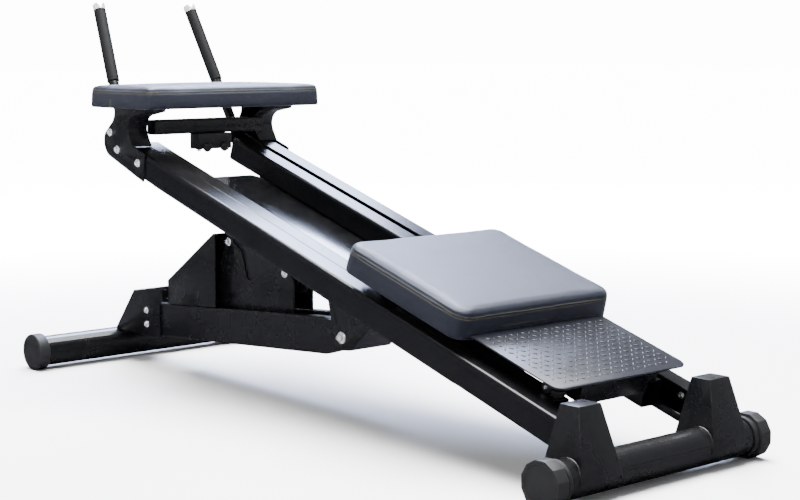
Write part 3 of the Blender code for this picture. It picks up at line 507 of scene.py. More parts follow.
def finish_with(obj: bpy.types.Object, kind: str, **settings: object) -> bpy.types.Object:
    """Adds a modifier and applies it.

    Args:
        obj: the piece.
        kind: the modifier's type.
        settings: its settings.

    Returns:
        The same piece.
    """
    alone(obj)
    modifier = obj.modifiers.new(kind.lower(), kind)
    for key, value in settings.items():
        setattr(modifier, key, value)
    bpy.ops.object.modifier_apply(modifier=modifier.name)
    return obj


def smooth(obj: bpy.types.Object, degrees: float = 35.0) -> bpy.types.Object:
    """Shades a piece smooth, with sharp edges past an angle.

    Args:
        obj: the piece.
        degrees: the angle.

    Returns:
        The same piece.
    """
    alone(obj)
    bpy.ops.object.shade_smooth_by_angle(angle=math.radians(degrees))
    return obj


def lathe(name: str, profile: Sequence[tuple[float, float]], steps: int = 40) -> bpy.types.Object:
    """Spins a profile of (height, radius) round Z.

    Args:
        name: the piece's name.
        profile: its points from one end of the axis to the other.
        steps: sides of the round.

    Returns:
        The piece.
    """
    mesh = bpy.data.meshes.new(name)
    points = [(radius, 0.0, height) for height, radius in profile]
    mesh.from_pydata(points, [(i, i + 1) for i in range(len(points) - 1)], [])
    obj = bpy.data.objects.new(name, mesh)
    bpy.context.scene.collection.objects.link(obj)
    edit(obj, lambda: bpy.ops.mesh.select_all(action="SELECT"),
         lambda: bpy.ops.mesh.spin(steps=steps, angle=math.tau, center=(0, 0, 0), axis=(0, 0, 1)),
         lambda: bpy.ops.mesh.select_all(action="SELECT"),
         lambda: bpy.ops.mesh.remove_doubles(threshold=0.00002),
         lambda: bpy.ops.mesh.normals_make_consistent(inside=False))
    return smooth(obj, 30)


def merged(name: str, source: bpy.types.Object, places: Iterable[Matrix]) -> bpy.types.Object:
    """Copies a small shape to many places, as one mesh, and removes the source.

    Args:
        name: the new piece's name.
        source: the shape, at the origin.
        places: a matrix for each copy.

    Returns:
        The new piece.
    """
    whole = bmesh.new()
    for place in places:
        start = len(whole.verts)
        whole.from_mesh(source.data)
        whole.verts.ensure_lookup_table()
        bmesh.ops.transform(whole, matrix=place, verts=whole.verts[start:])
    mesh = bpy.data.meshes.new(name)
    whole.to_mesh(mesh)
    whole.free()
    bpy.data.objects.remove(source, do_unlink=True)
    obj = bpy.data.objects.new(name, mesh)
    bpy.context.scene.collection.objects.link(obj)
    return obj


def joined(name: str, parts: Sequence[bpy.types.Object]) -> bpy.types.Object:
    """Joins parts into one piece.

    Args:
        name: the piece's name.
        parts: what it is made of.

    Returns:
        The piece.
    """
    alone(parts[0])
    for part in parts[1:]:
        part.select_set(True)
    bpy.ops.object.join()
    parts[0].name = parts[0].data.name = name
    return parts[0]


def box_in(node: str, turn: Matrix = LEVEL) -> tuple[Vector, Vector]:
    """A CAD node's box in a turned frame.

    Args:
        node: the node's name.
        turn: the frame's turn.

    Returns:
        Its lowest and highest corner in that frame.
    """
    back = turn.inverted()
    points = [back @ vertex.co for vertex in frame["nodes"][node].data.vertices]
    low = Vector(min(point[axis] for point in points) for axis in range(3))
    high = Vector(max(point[axis] for point in points) for axis in range(3))
    return low, high


def dress(obj: bpy.types.Object, finish: Finish, body: Body, *replaced: str) -> bpy.types.Object:
    """Gives a piece its finish and its body.

    Args:
        obj: the piece.
        finish: its finish.
        body: the body that it rides on.
        replaced: the CAD nodes that it stands for.

    Returns:
        The same piece.
    """
    obj.data.materials.clear()
    obj.data.materials.append(finish.material())
    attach(obj, body.value)
    if replaced:
        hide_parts(*replaced)
    LOG.info("%s: %d faces, %s", obj.name, len(obj.data.polygons), finish.name)
    return obj


def repaint(nodes: Iterable[str], finish: Finish) -> None:
    """Gives CAD nodes a finish and leaves their shape.

    Args:
        nodes: their names.
        finish: the finish.
    """
    for name in nodes:
        mesh = frame["nodes"][name].data
        mesh.materials.clear()
        mesh.materials.append(finish.material())
        LOG.info("%s keeps its shape, %s", name, finish.name)


def eased(node: str, width: float, finish: Finish, body: Body, segments: int = 2) -> bpy.types.Object:
    """Copies a CAD node with its edges rounded, and puts the copy in its place.

    Args:
        node: the node's name.
        width: the rounding.
        finish: the copy's finish.
        body: the body that it rides on.
        segments: facets of the rounding.

    Returns:
        The copy.
    """
    obj = bpy.data.objects.new(node + "_eased", frame["nodes"][node].data.copy())
    bpy.context.scene.collection.objects.link(obj)
    edit(obj, lambda: bpy.ops.mesh.select_all(action="SELECT"),
         lambda: bpy.ops.mesh.remove_doubles(threshold=0.00002),
         lambda: bpy.ops.mesh.dissolve_limited(angle_limit=math.radians(1.0)))
    finish_with(obj, "BEVEL", width=width, segments=segments, limit_method="ANGLE",
                angle_limit=math.radians(42), miter_outer="MITER_ARC", use_clamp_overlap=True)
    return dress(smooth(obj, 30), finish, body, node)


def facing(point: Vector, axis: Vector) -> Matrix:
    """A place at a point whose Z runs along an axis.

    Args:
        point: the point.
        axis: the direction.

    Returns:
        The place.
    """
    return Matrix.Translation(point) @ axis.to_track_quat("Z", "Y").to_matrix().to_4x4()


@dataclass
class Fasteners:
    """Bolts, nuts and washers."""

    head: float = 0.0062
    rise: float = 0.0044
    washer: float = 0.0092

    def bolt(self, scale: float = 1.0) -> bpy.types.Object:
        """A domed hex bolt on a washer, standing on z = 0.

        Args:
            scale: its size against the usual bolt.

        Returns:
            The bolt.
        """
        bpy.ops.object.select_all(action="DESELECT")
        bpy.ops.mesh.primitive_cylinder_add(vertices=6, radius=self.head, depth=self.rise,
                                            location=(0, 0, self.rise / 2 + 0.0013))
        head = bare(bpy.context.object, "bolt_head")
        pick(head, "FACE", lambda centre, normal: normal.z > 0.9)
        edit(head, lambda: bpy.ops.mesh.inset(thickness=self.head * 0.28),
             lambda: bpy.ops.transform.translate(value=(0, 0, 0.0006)),
             lambda: bpy.ops.mesh.inset(thickness=self.head * 0.20),
             lambda: bpy.ops.mesh.extrude_region_move(TRANSFORM_OT_translate={"value": (0, 0, -0.0016)}))
        finish_with(head, "BEVEL", width=0.0005, segments=2, limit_method="ANGLE", angle_limit=math.radians(35))
        ring = lathe("bolt_washer", [(0.0, self.head * 0.5), (0.0, self.washer), (0.0009, self.washer),
                                     (0.0013, self.washer - 0.0005), (0.0013, self.head * 0.5),
                                     (0.0, self.head * 0.5)], 24)
        whole = joined("bolt", [smooth(head), ring])
        return set_place(whole, Matrix.Scale(scale, 4))

    def place(self, name: str, spots: Sequence[tuple[Vector, Vector]], body: Body, *replaced: str,
              scale: float = 1.0) -> bpy.types.Object:
        """Puts bolts on a surface.

        Args:
            name: the piece's name.
            spots: a point and an outward direction for each bolt.
            body: the body that they ride on.
            replaced: the CAD nodes that they stand for.
            scale: their size against the usual bolt.

        Returns:
            The bolts, as one piece.
        """
        places = [facing(point, axis) for point, axis in spots]
        return dress(smooth(merged(name, self.bolt(scale), places)), ZINC, body, *replaced)


@dataclass
class Cushion:
    """A foam pad in a stitched cover, on a board."""

    node: str
    board: str
    body: Body
    turn: Matrix
    corner: float
    edge: float
    voxel: float
    crown: float
    seams: tuple[float, float]
    upright_seam: float | None = None
    closing_seam: tuple[float, float, float] | None = None
    give: tuple[float, float, float] = (0.0022, 0.0022, 0.0060)
    settle: int = 30
    inset: float = 0.0012
    pitch: float = 0.0052
    thread: float = 0.0017

    def build(self) -> None:
        """Makes the pad, its stitches and its board."""
        low, high = box_in(self.node, self.turn)
        pad = self._blank(low, high)
        self._inflate(pad, low, high)
        self._crown(pad, low, high)
        finish_with(pad, "SUBSURF", levels=1, render_levels=1)
        self._pull_seams(pad, high)
        stitches = self._stitches(pad, low, high)
        set_place(smooth(pad, 60), self.turn)
        dress(pad, LEATHER, self.body, self.node)
        dress(set_place(smooth(stitches, 60), self.turn), THREAD, self.body)
        repaint([self.board], PLYWOOD)

    def _blank(self, low: Vector, high: Vector) -> bpy.types.Object:
        """Cuts the pad's blank, a little small, and remeshes it evenly.

        Args:
            low: the pad's lowest corner.
            high: its highest corner.

        Returns:
            The blank.
        """
        margin = Vector((self.inset, self.inset, 0.0))
        blank = block(self.node + "_cover", low + margin, high - margin - Vector((0, 0, self.inset)))
        top = high.z - self.inset
        pick(blank, "EDGE", lambda middle, along: abs(along.z) > 0.9)
        edit(blank, lambda: bpy.ops.mesh.bevel(offset=self.corner - self.inset, segments=10, affect="EDGES"))
        pick(blank, "EDGE", lambda middle, along: middle.z > top - 0.0005 and abs(along.z) < 0.1)
        edit(blank, lambda: bpy.ops.mesh.bevel(offset=self.edge, segments=5, affect="EDGES"))
        pick(blank, "EDGE", lambda middle, along: middle.z < low.z + 0.0005 and abs(along.z) < 0.1)
        edit(blank, lambda: bpy.ops.mesh.bevel(offset=0.0022, segments=2, affect="EDGES"))
        return finish_with(blank, "REMESH", mode="VOXEL", voxel_size=self.voxel, use_smooth_shade=True)

    def _inflate(self, pad: bpy.types.Object, low: Vector, high: Vector) -> None:
        """Blows the cover up as cloth, then keeps a small, evened share of the movement inside its space.

        Args:
            pad: the blank.
            low: the pad's lowest corner.
            high: its highest corner.
        """
        scene = bpy.context.scene
        pinned = pad.vertex_groups.new(name="seat")
        pinned.add([v.index for v in pad.data.vertices if v.co.z < low.z + 0.006], 1.0, "REPLACE")
        cloth = pad.modifiers.new("cover", "CLOTH")
        cloth.settings.quality = 5
        cloth.settings.mass = 0.4
        cloth.settings.tension_stiffness = cloth.settings.compression_stiffness = 30
        cloth.settings.use_pressure = True
        cloth.settings.uniform_pressure_force = 4.0
        cloth.settings.effector_weights.gravity = 0.0
        cloth.settings.vertex_group_mass = "seat"
        cloth.point_cache.frame_start, cloth.point_cache.frame_end = 1, 20
        for step in range(1, 21):
            scene.frame_set(step)
        shaped = pad.evaluated_get(bpy.context.evaluated_depsgraph_get())
        count = len(pad.data.vertices)
        rest, blown = np.empty(count * 3), np.empty(count * 3)
        shaped.data.vertices.foreach_get("co", blown)
        pad.modifiers.remove(cloth)
        scene.frame_set(1)
        pad.data.vertices.foreach_get("co", rest)
        rest, blown = rest.reshape(-1, 3), blown.reshape(-1, 3)
        limit = np.array(self.give)
        step = self._relaxed(pad, np.clip(blown - rest, -limit, limit))
        space = np.array(low) + 0.0003, np.array(high) + (-0.0003, -0.0003, 0.0010)
        pad.data.vertices.foreach_set("co", np.clip(rest + step, *space).ravel())
        pad.data.update()
        pad.vertex_groups.clear()
        LOG.info("%s cloth settled over %d points", self.node, count)

    def _relaxed(self, pad: bpy.types.Object, step: np.ndarray) -> np.ndarray:
        """Evens out the cover's movement, as the foam below does.

        Args:
            pad: the blank.
            step: each point's movement.

        Returns:
            The evened movement.
        """
        lines = np.empty(len(pad.data.edges) * 2, dtype=int)
        pad.data.edges.foreach_get("vertices", lines)
        first, second = lines.reshape(-1, 2).T
        joins = np.bincount(np.concatenate((first, second)), minlength=len(step))[:, None]
        for _ in range(self.settle):
            total = np.zeros_like(step)
            np.add.at(total, first, step[second])
            np.add.at(total, second, step[first])
            step = 0.4 * step + 0.6 * total / joins
        return step

    def _crown(self, pad: bpy.types.Object, low: Vector, high: Vector) -> None:
        """Raises the middle of the pad's top and eases it down to the edges.

        Args:
            pad: the pad.
            low: its lowest corner.
            high: its highest corner.
        """
        middle = (low + high) / 2
        half = (high - low) / 2
        for vertex in pad.data.vertices:
            across = 1 - min(1.0, abs(vertex.co.x - middle.x) / half.x) ** 2.6
            along = 1 - min(1.0, abs(vertex.co.y - middle.y) / half.y) ** 2.6
            lift = max(0.0, (vertex.co.z - middle.z) / half.z)
            vertex.co.z += self.crown * across * along * lift

    def _outline(self, low: Vector, high: Vector) -> list[Vector]:
        """The pad's plan outline at even steps.

        Args:
            low: the pad's lowest corner.
            high: its highest corner.

        Returns:
            Points at z = 0, anticlockwise.
        """
        points = []
        r = self.corner
        centres = ((high.x - r, high.y - r, 0), (low.x + r, high.y - r, 90), (low.x + r, low.y + r, 180),
                   (high.x - r, low.y + r, 270))
        for x, y, start in centres:
            for index in range(13):
                angle = math.radians(start + 7.5 * index)
                points.append(Vector((x + r * math.cos(angle), y + r * math.sin(angle), 0)))
        even, carry = [], 0.0
        for first, second in zip(points, points[1:] + points[:1]):
            length = (second - first).length
            while carry < length:
                even.append(first.lerp(second, carry / length))
                carry += self.pitch
            carry -= length
        return even

    def _pull_seams(self, pad: bpy.types.Object, high: Vector) -> None:
        """Pulls the cover in along its two sewn lines.

        Args:
            pad: the pad.
            high: its highest corner.
        """
        normals = [vertex.normal.copy() for vertex in pad.data.vertices]
        for vertex, normal in zip(pad.data.vertices, normals):
            if abs(normal.z) > 0.75:
                continue
            for drop in self.seams:
                away = abs(vertex.co.z - (high.z - drop)) / 0.0028
                if away < 1:
                    vertex.co -= normal * 0.0011 * (1 - away * away)

    def _stitches(self, pad: bpy.types.Object, low: Vector, high: Vector) -> bpy.types.Object:
        """Lays the two sewn rows round the pad, and its upright and closing seams if it has them.

        Args:
            pad: the pad, not yet turned.
            low: its lowest corner.
            high: its highest corner.

        Returns:
            The stitches, as one piece.
        """
        bpy.ops.object.select_all(action="DESELECT")
        bpy.ops.mesh.primitive_uv_sphere_add(segments=6, ring_count=5, radius=1.0)
        stitch = bpy.context.object
        stitch.scale = (self.thread, 0.00048, 0.00042)
        bare(stitch, "stitch")
        skin = BVHTree.FromPolygons([vertex.co for vertex in pad.data.vertices],
                                    [face.vertices for face in pad.data.polygons])
        outline = self._outline(low, high)
        lines = [[point + Vector((0, 0, high.z - drop)) for point in outline] for drop in self.seams]
        rows = [list(zip(line, line[1:] + line[:1])) for line in lines]
        if self.upright_seam is not None:
            for x in (low.x, high.x):
                for shift in (-0.0028, 0.0028):
                    foot, top = low.z + 0.004, high.z - self.seams[1] - 0.003
                    spot = Vector((x, high.y - self.upright_seam + shift, foot))
                    count = int((top - foot) / self.pitch)
                    column = [spot + Vector((0, 0, self.pitch * index)) for index in range(count)]
                    rows.append(list(zip(column, column[1:])))
        if self.closing_seam is not None:
            start, end, rise = self.closing_seam
            spots = int((end - start) / self.pitch)
            line = [Vector((start + self.pitch * index, low.y, low.z + rise)) for index in range(spots)]
            rows.append(list(zip(line, line[1:])))
        places = []
        for row in rows:
            for here, after in row:
                point, normal, _, _ = skin.find_nearest(here)
                along = (after - here).normalized()
                along = (along - normal * along.dot(normal)).normalized()
                side = normal.cross(along)
                turn = Matrix((along, side, normal)).transposed().to_4x4()
                places.append(Matrix.Translation(point + normal * 0.0001) @ turn)
        return merged(self.node + "_stitches", stitch, places)


@dataclass
class Feet:
    """The two foot tubes' rubber caps."""

    tube_radius: float = 0.038

    def build(self) -> None:
        """Makes the caps and paints the tubes."""
        for side, sign in SIDES:
            self._front(side, sign)
            self._rear(side, sign)
        repaint(["rear_foot_tube", "front_foot_tube"], PAINT)

    @staticmethod
    def _place(node: str, sign: int) -> tuple[Matrix, Vector, Vector]:
        """A cap's place: its Z points outwards from the tube.

        Args:
            node: the CAD cap.
            sign: -1 on the left, 1 on the right.

        Returns:
            The place, and the cap's low and high corner.
        """
        low, high = box_in(node)
        centre = (low + high) / 2
        face = high.x if sign > 0 else low.x
        return facing(Vector((face, centre.y, centre.z)), Vector((sign, 0, 0))), low, high

    def _front(self, side: str, sign: int) -> None:
        """A plain round cap with a dished face and a soft rim.

        Args:
            side: left or right.
            sign: -1 or 1.
        """
        node = f"front_cap_{side}"
        place, low, high = self._place(node, sign)
        r = (high.z - low.z) / 2
        inner = self.tube_radius + 0.0006
        profile = [(-0.0022, 0.0), (-0.0022, r - 0.012), (-0.0014, r - 0.0105), (0.0, r - 0.009), (0.0, r - 0.004)]
        profile += [(-0.0009, r - 0.0016), (-0.0030, r), (-0.0275, r), (-0.0290, r - 0.0007), (-0.0300, r - 0.0024)]
        profile += [(-0.0300, inner), (-0.0290, inner - 0.001), (-0.0285, inner - 0.004), (-0.0285, 0.0)]
        dress(set_place(lathe(node + "_moulded", profile, 56), place), RUBBER, Body.BASE, node)

    def _rear(self, side: str, sign: int) -> None:
        """A twelve-sided knob with a dished face, a dark groove and a collar.

        Args:
            side: left or right.
            sign: -1 or 1.
        """
        node = f"rear_cap_{side}"
        place, low, high = self._place(node, sign)
        flat = (high.z - low.z) / 2
        bpy.ops.object.select_all(action="DESELECT")
        bpy.ops.mesh.primitive_cylinder_add(vertices=12, radius=flat / math.cos(math.pi / 12) - 0.0002,
                                            depth=0.0296, location=(0, 0, -0.0148),
                                            rotation=(0, 0, math.pi / 12))
        knob = bare(bpy.context.object, node + "_knob")
        pick(knob, "FACE", lambda centre, normal: normal.z > 0.9)
        edit(knob, lambda: bpy.ops.mesh.inset(thickness=0.007),
             lambda: bpy.ops.mesh.extrude_region_move(TRANSFORM_OT_translate={"value": (0, 0, -0.0018)}),
             lambda: bpy.ops.mesh.inset(thickness=0.004))
        finish_with(knob, "BEVEL", width=0.0016, segments=3, limit_method="ANGLE", angle_limit=math.radians(20))
        inner, outer = self.tube_radius + 0.0004, self.tube_radius + 0.004
        profile = [(-0.0296, inner + 0.0012), (-0.0348, inner + 0.0012), (-0.0356, outer - 0.0006)]
        profile += [(-0.0362, outer), (-0.0440, outer), (-0.0448, outer - 0.0010), (-0.0450, inner)]
        profile += [(-0.0296, inner), (-0.0296, inner + 0.0012)]
        collar = lathe(node + "_collar", profile, 48)
        dress(set_place(joined(node + "_moulded", [smooth(knob), collar]), place), RUBBER, Body.FRAME, node)


@dataclass
class Grips:
    """The two upright grips."""

    def build(self) -> None:
        """Makes each sleeve and end cap."""
        for side, sign in SIDES:
            place, length = self._axis(f"grip_{side}")
            dress(set_place(self._sleeve(side, length), place), SLEEVE, Body.FRAME, f"grip_{side}")
            above = place @ Matrix.Translation((0, 0, length + 0.0003))
            dress(set_place(self._end(side), above), CHROME, Body.FRAME, f"grip_end_{side}")
        repaint(["grip_tube_left", "grip_tube_right"], PAINT)

    @staticmethod
    def _axis(node: str) -> tuple[Matrix, float]:
        """Finds a turned node's axis from the middles of its two ends.

        Args:
            node: the CAD node.

        Returns:
            A place at its lower end with Z along it, and its length.
        """
        points = [vertex.co for vertex in frame["nodes"][node].data.vertices]
        side = -1 if "left" in node else 1
        lean = Vector((-side * 0.1, 0.48, 1.0)).normalized()
        for _ in range(12):
            heights = [point.dot(lean) for point in points]
            low, high = min(heights), max(heights)
            foot = [p for p, h in zip(points, heights) if h < low + 0.0015]
            head = [p for p, h in zip(points, heights) if h > high - 0.0015]
            start, end = (sum(group, Vector()) / len(group) for group in (foot, head))
            lean = (end - start).normalized()
        return facing(start, lean), (end - start).length

    def _sleeve(self, side: str, length: float) -> bpy.types.Object:
        """A smooth sleeve with a soft lip at each end.

        Args:
            side: left or right.
            length: its length.

        Returns:
            The sleeve.
        """
        outer, inner = 0.0152, 0.0128
        profile = [(0.0, inner), (0.0, outer - 0.0008), (0.0012, outer), (0.0050, outer)]
        profile += [(0.0056, outer - 0.0005), (0.0062, outer - 0.0005), (0.0068, outer)]
        profile += [(length - 0.0068, outer), (length - 0.0062, outer - 0.0005), (length - 0.0056, outer - 0.0005)]
        profile += [(length - 0.005, outer), (length - 0.0012, outer)]
        profile += [(length, outer - 0.0008), (length, inner), (0.0, inner)]
        return lathe(f"grip_{side}_sleeve", profile, 40)

    @staticmethod
    def _end(side: str) -> bpy.types.Object:
        """A polished cap with a turned groove and a domed top.

        Args:
            side: left or right.

        Returns:
            The cap.
        """
        r = 0.0152
        profile = [(0.0, 0.0), (0.0, r - 0.0006), (0.0006, r), (0.0045, r), (0.0050, r - 0.0008), (0.0058, r - 0.0008)]
        profile += [(0.0063, r), (0.0145, r), (0.0162, r - 0.0008), (0.0172, r - 0.0026), (0.0177, r - 0.006),
                    (0.0179, 0.0)]
        return lathe(f"grip_{side}_cap", profile, 48)


@dataclass
class TreadPlate:
    """The foot plate and its raised tread."""

    node: str = "foot_plate"
    pitch: float = 0.0165
    margin: float = 0.009

    def build(self) -> None:
        """Rounds the plate's edges and lays the tread on it."""
        eased(self.node, 0.0012, TREAD, Body.CARRIAGE)
        low, high = box_in(self.node, RAIL_TURN)
        bpy.ops.object.select_all(action="DESELECT")
        bpy.ops.mesh.primitive_uv_sphere_add(segments=10, ring_count=6, radius=1.0)
        bar = bpy.context.object
        bar.scale = (0.0062, 0.0019, 0.0014)
        bare(bar, "tread_bar")
        places = []
        columns = int((high.x - low.x - 2 * self.margin) / self.pitch)
        rows = int((high.y - low.y - 2 * self.margin) / self.pitch)
        start_x = (low.x + high.x - (columns - 1) * self.pitch) / 2
        start_y = (low.y + high.y - (rows - 1) * self.pitch) / 2
        for row in range(rows):
            for column in range(columns):
                if row < 1 and column in (0, columns - 1):
                    continue
                lean = math.radians(45 if (row + column) % 2 else -45)
                spot = Vector((start_x + column * self.pitch, start_y + row * self.pitch, high.z - 0.0001))
                places.append(RAIL_TURN @ Matrix.Translation(spot) @ Matrix.Rotation(lean, 4, "Z"))
        dress(smooth(merged("foot_plate_tread", bar, places), 60), TREAD, Body.CARRIAGE)


def bead(name: str, points: Sequence[Vector], body: Body, radius: float = 0.0022) -> bpy.types.Object:
    """A rippled weld bead along a line.

    Args:
        name: its name.
        points: the line.
        body: the body that it rides on.
        radius: the bead's radius.

    Returns:
        The bead.
    """
    curve = bpy.data.curves.new(name, "CURVE")
    curve.dimensions = "3D"
    curve.bevel_depth = radius
    curve.bevel_resolution = 2
    curve.use_fill_caps = True
    spline = curve.splines.new("POLY")
    spline.points.add(len(points) - 1)
    for index, (knot, point) in enumerate(zip(spline.points, points)):
        knot.co = (*point, 1.0)
        knot.radius = 1.0 + 0.16 * math.sin(index * 2.1) if 0 < index < len(points) - 1 else 0.5
    obj = bpy.data.objects.new(name, curve)
    bpy.context.scene.collection.objects.link(obj)
    alone(obj)
    bpy.ops.object.convert(target="MESH")
    return dress(smooth(bpy.context.object, 60), PAINT, body)


@dataclass
class RailFrame:
    """Rails, tracks, brackets and the pan."""

    def build(self) -> None:
        """Dresses the rail frame and adds its welds and bolts."""
        fasteners = Fasteners()
        repaint([f"{kind}_{side}" for kind in ("rail", "track") for side, _ in SIDES], TRACK_PAINT)
        eased("belly_pan", 0.0008, PAN_PAINT, Body.FRAME)
        for side, sign in SIDES:
            eased(f"rear_bracket_{side}", 0.0016, PAINT, Body.FRAME, 3)
            eased(f"track_tie_{side}", 0.0008, PAINT, Body.FRAME)
            eased(f"low_stop_{side}", 0.0016, RUBBER, Body.FRAME)
            self._rear_bolts(fasteners, side, sign)
            self._rear_welds(side, sign)

    @staticmethod
    def _rear_bolts(fasteners: Fasteners, side: str, sign: int) -> None:
        """The bolts in a rail's web at its low end and in its bracket.

        Args:
            fasteners: the bolt maker.
            side: left or right.
            sign: -1 or 1.
        """
        low, high = box_in(f"rail_{side}", RAIL_TURN)
        outer = high.x if sign > 0 else -low.x
        inward = Vector((-sign, 0, 0))
        web = sign * (outer - 0.0031)
        spots = [(0.084, 0.0487), (0.098, 0.0229), (0.075, 0.0344)]
        places = [(RAIL_TURN @ Vector((web, low.y + s, low.z + n)), inward) for s, n in spots]
        fasteners.place(f"rail_web_bolts_{side}", places, Body.FRAME, scale=0.85)

    @staticmethod
    def _rear_welds(side: str, sign: int) -> None:
        """The beads where a rear bracket's sides meet the foot tube.

        Args:
            side: left or right.
            sign: -1 or 1.
        """
        low, high = box_in("rear_foot_tube")
        centre = (low + high) / 2
        radius = (high.z - low.z) / 2
        foot, head = box_in(f"rear_bracket_{side}")
        inner, outer = sorted((abs(foot.x), abs(head.x)))
        for label, x, slant in (("inner", inner, 0.195), ("outer", outer, -0.194)):
            points = []
            for index in range(29):
                angle = math.radians(-14 + 160 * index / 28)
                y = centre.y - (radius + 0.0004) * math.cos(angle)
                z = centre.z + (radius + 0.0004) * math.sin(angle)
                shift = slant * (z - foot.z)
                points.append(Vector((sign * (x + shift), y, z)))
            bead(f"rear_weld_{label}_{side}", points, Body.FRAME)


@dataclass
class Head:
    """Cheeks, cross tube, stop block and their fasteners."""

    def build(self) -> None:
        """Dresses the head."""
        fasteners = Fasteners()
        eased("cross_tube", 0.0008, PAINT, Body.FRAME)
        eased("stop_block", 0.0018, STEEL, Body.FRAME, 3)
        repaint(["bumper_left", "bumper_right"], RUBBER)
        low, high = box_in("stop_block")
        down = Vector((0, 0, -1))
        spots = [(Vector((sign * (high.x - 0.008), low.y + 0.010, low.z)), down) for _, sign in SIDES]
        fasteners.place("stop_block_bolts", spots, Body.FRAME, scale=0.8)
        for side, sign in SIDES:
            eased(f"cheek_{side}", 0.0011, PAINT, Body.FRAME)
            nodes = [f"cheek_bolt_{side}_{index}" for index in (1, 2, 3)]
            spots = []
            for node in nodes:
                low, high = box_in(node)
                centre = (low + high) / 2
                face = (high.x if sign > 0 else -low.x) - 0.005
                spots.append((Vector((sign * face, centre.y, centre.z)), Vector((sign, 0, 0))))
            fasteners.place(f"cheek_bolts_{side}", spots, Body.FRAME, *nodes, scale=1.05)


@dataclass
class Carriage:
    """Tray, rollers, axles and pads."""

    def build(self) -> None:
        """Dresses the carriage."""
        eased("carriage_tray", 0.0007, PAINT, Body.CARRIAGE)
        repaint(["axle_low", "axle_high"], ZINC)
        repaint([f"roller_{level}_{side}" for level in ("low", "high") for side, _ in SIDES], NYLON)
        TreadPlate().build()
        Cushion("knee_pad", "knee_board", Body.CARRIAGE, RAIL_TURN, 0.034, 0.013, 0.0045, 0.006,
                (0.0120, 0.0180), closing_seam=(-0.105, 0.035, 0.024)).build()


@dataclass
class Base:
    """The pivoting base."""

    def build(self) -> None:
        """Dresses the base and adds its bolts."""
        fasteners = Fasteners()
        repaint(["base_beam_left", "base_beam_right", "pivot_bush"], PAINT)
        eased("front_bracket", 0.0010, PAINT, Body.BASE)
        eased("incline_tower", 0.0012, PAINT, Body.BASE)
        eased("pivot_bracket", 0.0010, PAINT, Body.FRAME)
        eased("incline_hanger", 0.0008, STEEL, Body.FRAME)
        for side, _ in SIDES:
            eased(f"saddle_plate_{side}", 0.0009, PAINT, Body.BASE)
        low, high = box_in("front_bracket")
        spots = []
        for _, sign in SIDES:
            for y, z in ((0.7435, 0.146), (0.7425, 0.110)):
                spots.append((Vector((sign * high.x, y, z)), Vector((sign, 0, 0))))
        fasteners.place("front_bracket_bolts", spots, Body.BASE, scale=0.95)
        bolts = (("pivot_bolt", Body.FRAME), ("clamp_bolt_far", Body.BASE), ("clamp_bolt_near", Body.BASE))
        for node, body in bolts:
            low, high = box_in(node)
            centre = (low + high) / 2
            scale = 1.5 if node == "pivot_bolt" else 1.1
            ends = [facing(Vector((sign * (high.x - 0.005), centre.y, centre.z)), Vector((sign, 0, 0)))
                    for _, sign in SIDES]
            shank = lathe(node + "_shank", [(-high.x + 0.006, 0.0), (-high.x + 0.006, 0.0038),
                                            (high.x - 0.006, 0.0038), (high.x - 0.006, 0.0)], 20)
            set_place(shank, facing(centre, Vector((1, 0, 0))))
            heads = merged(node + "_heads", fasteners.bolt(scale), ends)
            dress(smooth(joined(node + "_set", [shank, heads])), ZINC, body, node)


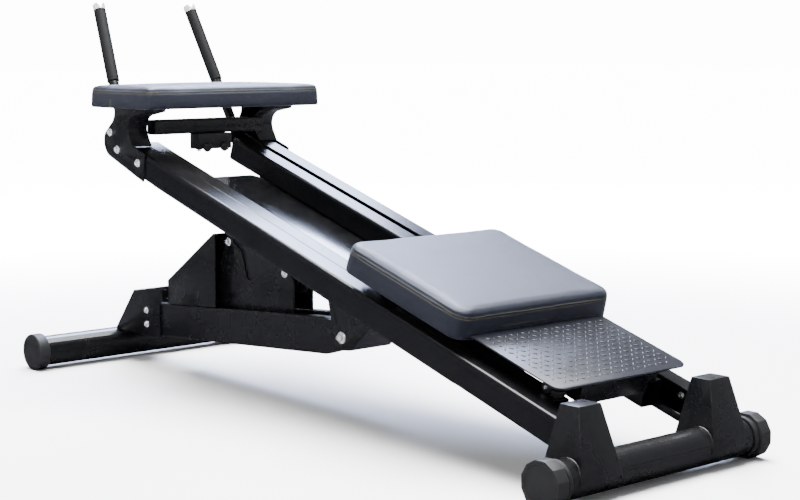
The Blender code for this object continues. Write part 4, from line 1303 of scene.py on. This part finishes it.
@dataclass
class Studio:
    """A pale floor, soft light and the camera."""

    camera_place: tuple[float, float, float] = (-2.496, -2.9635, 0.834)
    heading: float = math.radians(41.78)
    pitch: float = math.radians(-6.91)
    lens: float = 77.43

    def build(self) -> None:
        """Sets the stage."""
        self._floor()
        self._light("overhead", (0.3, 0.2, 4.2), (0.0, 0.0, 0.0), 3.6, 1500, (1.0, 1.0, 1.0))
        self._light("camera_side", (-3.9, -1.2, 2.1), (0.0, 0.0, 0.4), 0.9, 70, (1.0, 0.99, 0.96))
        self._light("far_side", (2.5, 3.2, 3.7), (0.0, 0.0, 0.4), 2.0, 620, (0.60, 0.69, 1.0))
        self._room()
        self._camera()

    @staticmethod
    def _room() -> None:
        """Sets a white backdrop whose reflection is a dim room."""
        world = bpy.data.worlds.new("pale room")
        bpy.context.scene.world = world
        world.use_nodes = True
        graph = Graph(world.node_tree)
        background = world.node_tree.nodes["Background"]
        seen = graph.add("LightPath").outputs["Is Camera Ray"]
        strength = graph.math("ADD", ROOM_LIGHT, graph.math("MULTIPLY", seen, BACKDROP_LIGHT))
        graph.tree.links.new(strength, background.inputs["Strength"])
        background.inputs["Color"].default_value = (0.94, 0.96, 1.0, 1.0)

    @staticmethod
    def _floor() -> None:
        """Lays the floor. It is dimmer in the paint's reflections than it looks."""
        bpy.ops.object.select_all(action="DESELECT")
        bpy.ops.mesh.primitive_plane_add(size=90)
        floor = bare(bpy.context.object, "floor")
        material = bpy.data.materials.new("pale floor")
        material.use_nodes = True
        shader = material.node_tree.nodes["Principled BSDF"]
        shader.inputs["Roughness"].default_value = 0.9
        shader.inputs["Specular IOR Level"].default_value = 0.0
        graph = Graph(material.node_tree)
        mirrored = graph.add("LightPath").outputs["Is Glossy Ray"]
        pale = graph.blend(mirrored, (0.95, 0.95, 0.95, 1.0), (0.05, 0.05, 0.054, 1.0))
        graph.tree.links.new(pale, shader.inputs["Base Color"])
        spot = graph.add("VectorMath", {0: graph.add("TexCoord").outputs["Object"]}, operation="LENGTH")
        far = graph.add("MapRange", {0: spot.outputs["Value"], 1: GLOW_START, 2: GLOW_FULL},
                        interpolation_type="SMOOTHSTEP")
        glow = graph.math("MULTIPLY", far.outputs[0], graph.math("SUBTRACT", 1.0, mirrored))
        graph.tree.links.new(graph.math("MULTIPLY", glow, BACKDROP_LIGHT), shader.inputs["Emission Strength"])
        shader.inputs["Emission Color"].default_value = (1.0, 1.0, 1.0, 1.0)
        floor.data.materials.append(material)

    @staticmethod
    def _light(name: str, place: Sequence[float], target: Sequence[float], size: float, power: float,
               tint: RGB) -> None:
        """Hangs a soft light.

        Args:
            name: its name.
            place: where it hangs.
            target: what it faces.
            size: its width.
            power: its power in watts.
            tint: its colour.
        """
        data = bpy.data.lights.new(name, "AREA")
        data.color = tint
        data.size = size
        data.energy = power
        lamp = bpy.data.objects.new(name, data)
        bpy.context.scene.collection.objects.link(lamp)
        lamp.location = place
        lamp.rotation_euler = (Vector(target) - Vector(place)).to_track_quat("-Z", "Y").to_euler()

    def _camera(self) -> None:
        """Sets the camera."""
        data = bpy.data.cameras.new("camera")
        data.lens = self.lens
        data.sensor_width = 36.0
        camera = bpy.data.objects.new("camera", data)
        bpy.context.scene.collection.objects.link(camera)
        flat = math.cos(self.pitch)
        ahead = Vector((math.sin(self.heading) * flat, math.cos(self.heading) * flat, math.sin(self.pitch)))
        camera.location = self.camera_place
        camera.rotation_euler = ahead.to_track_quat("-Z", "Y").to_euler()
        bpy.context.scene.camera = camera


def main() -> None:
    """Builds the trainer's looks, piece by piece."""
    logging.basicConfig(level=logging.INFO, format="%(message)s")
    Studio().build()
    Feet().build()
    RailFrame().build()
    Head().build()
    Grips().build()
    Cushion("forearm_pad", "forearm_board", Body.FRAME, LEVEL, 0.014, 0.010, 0.0042, 0.005,
            (0.0085, 0.0140), upright_seam=0.097).build()
    Carriage().build()
    Base().build()


if __name__ == "__main__":
    main()
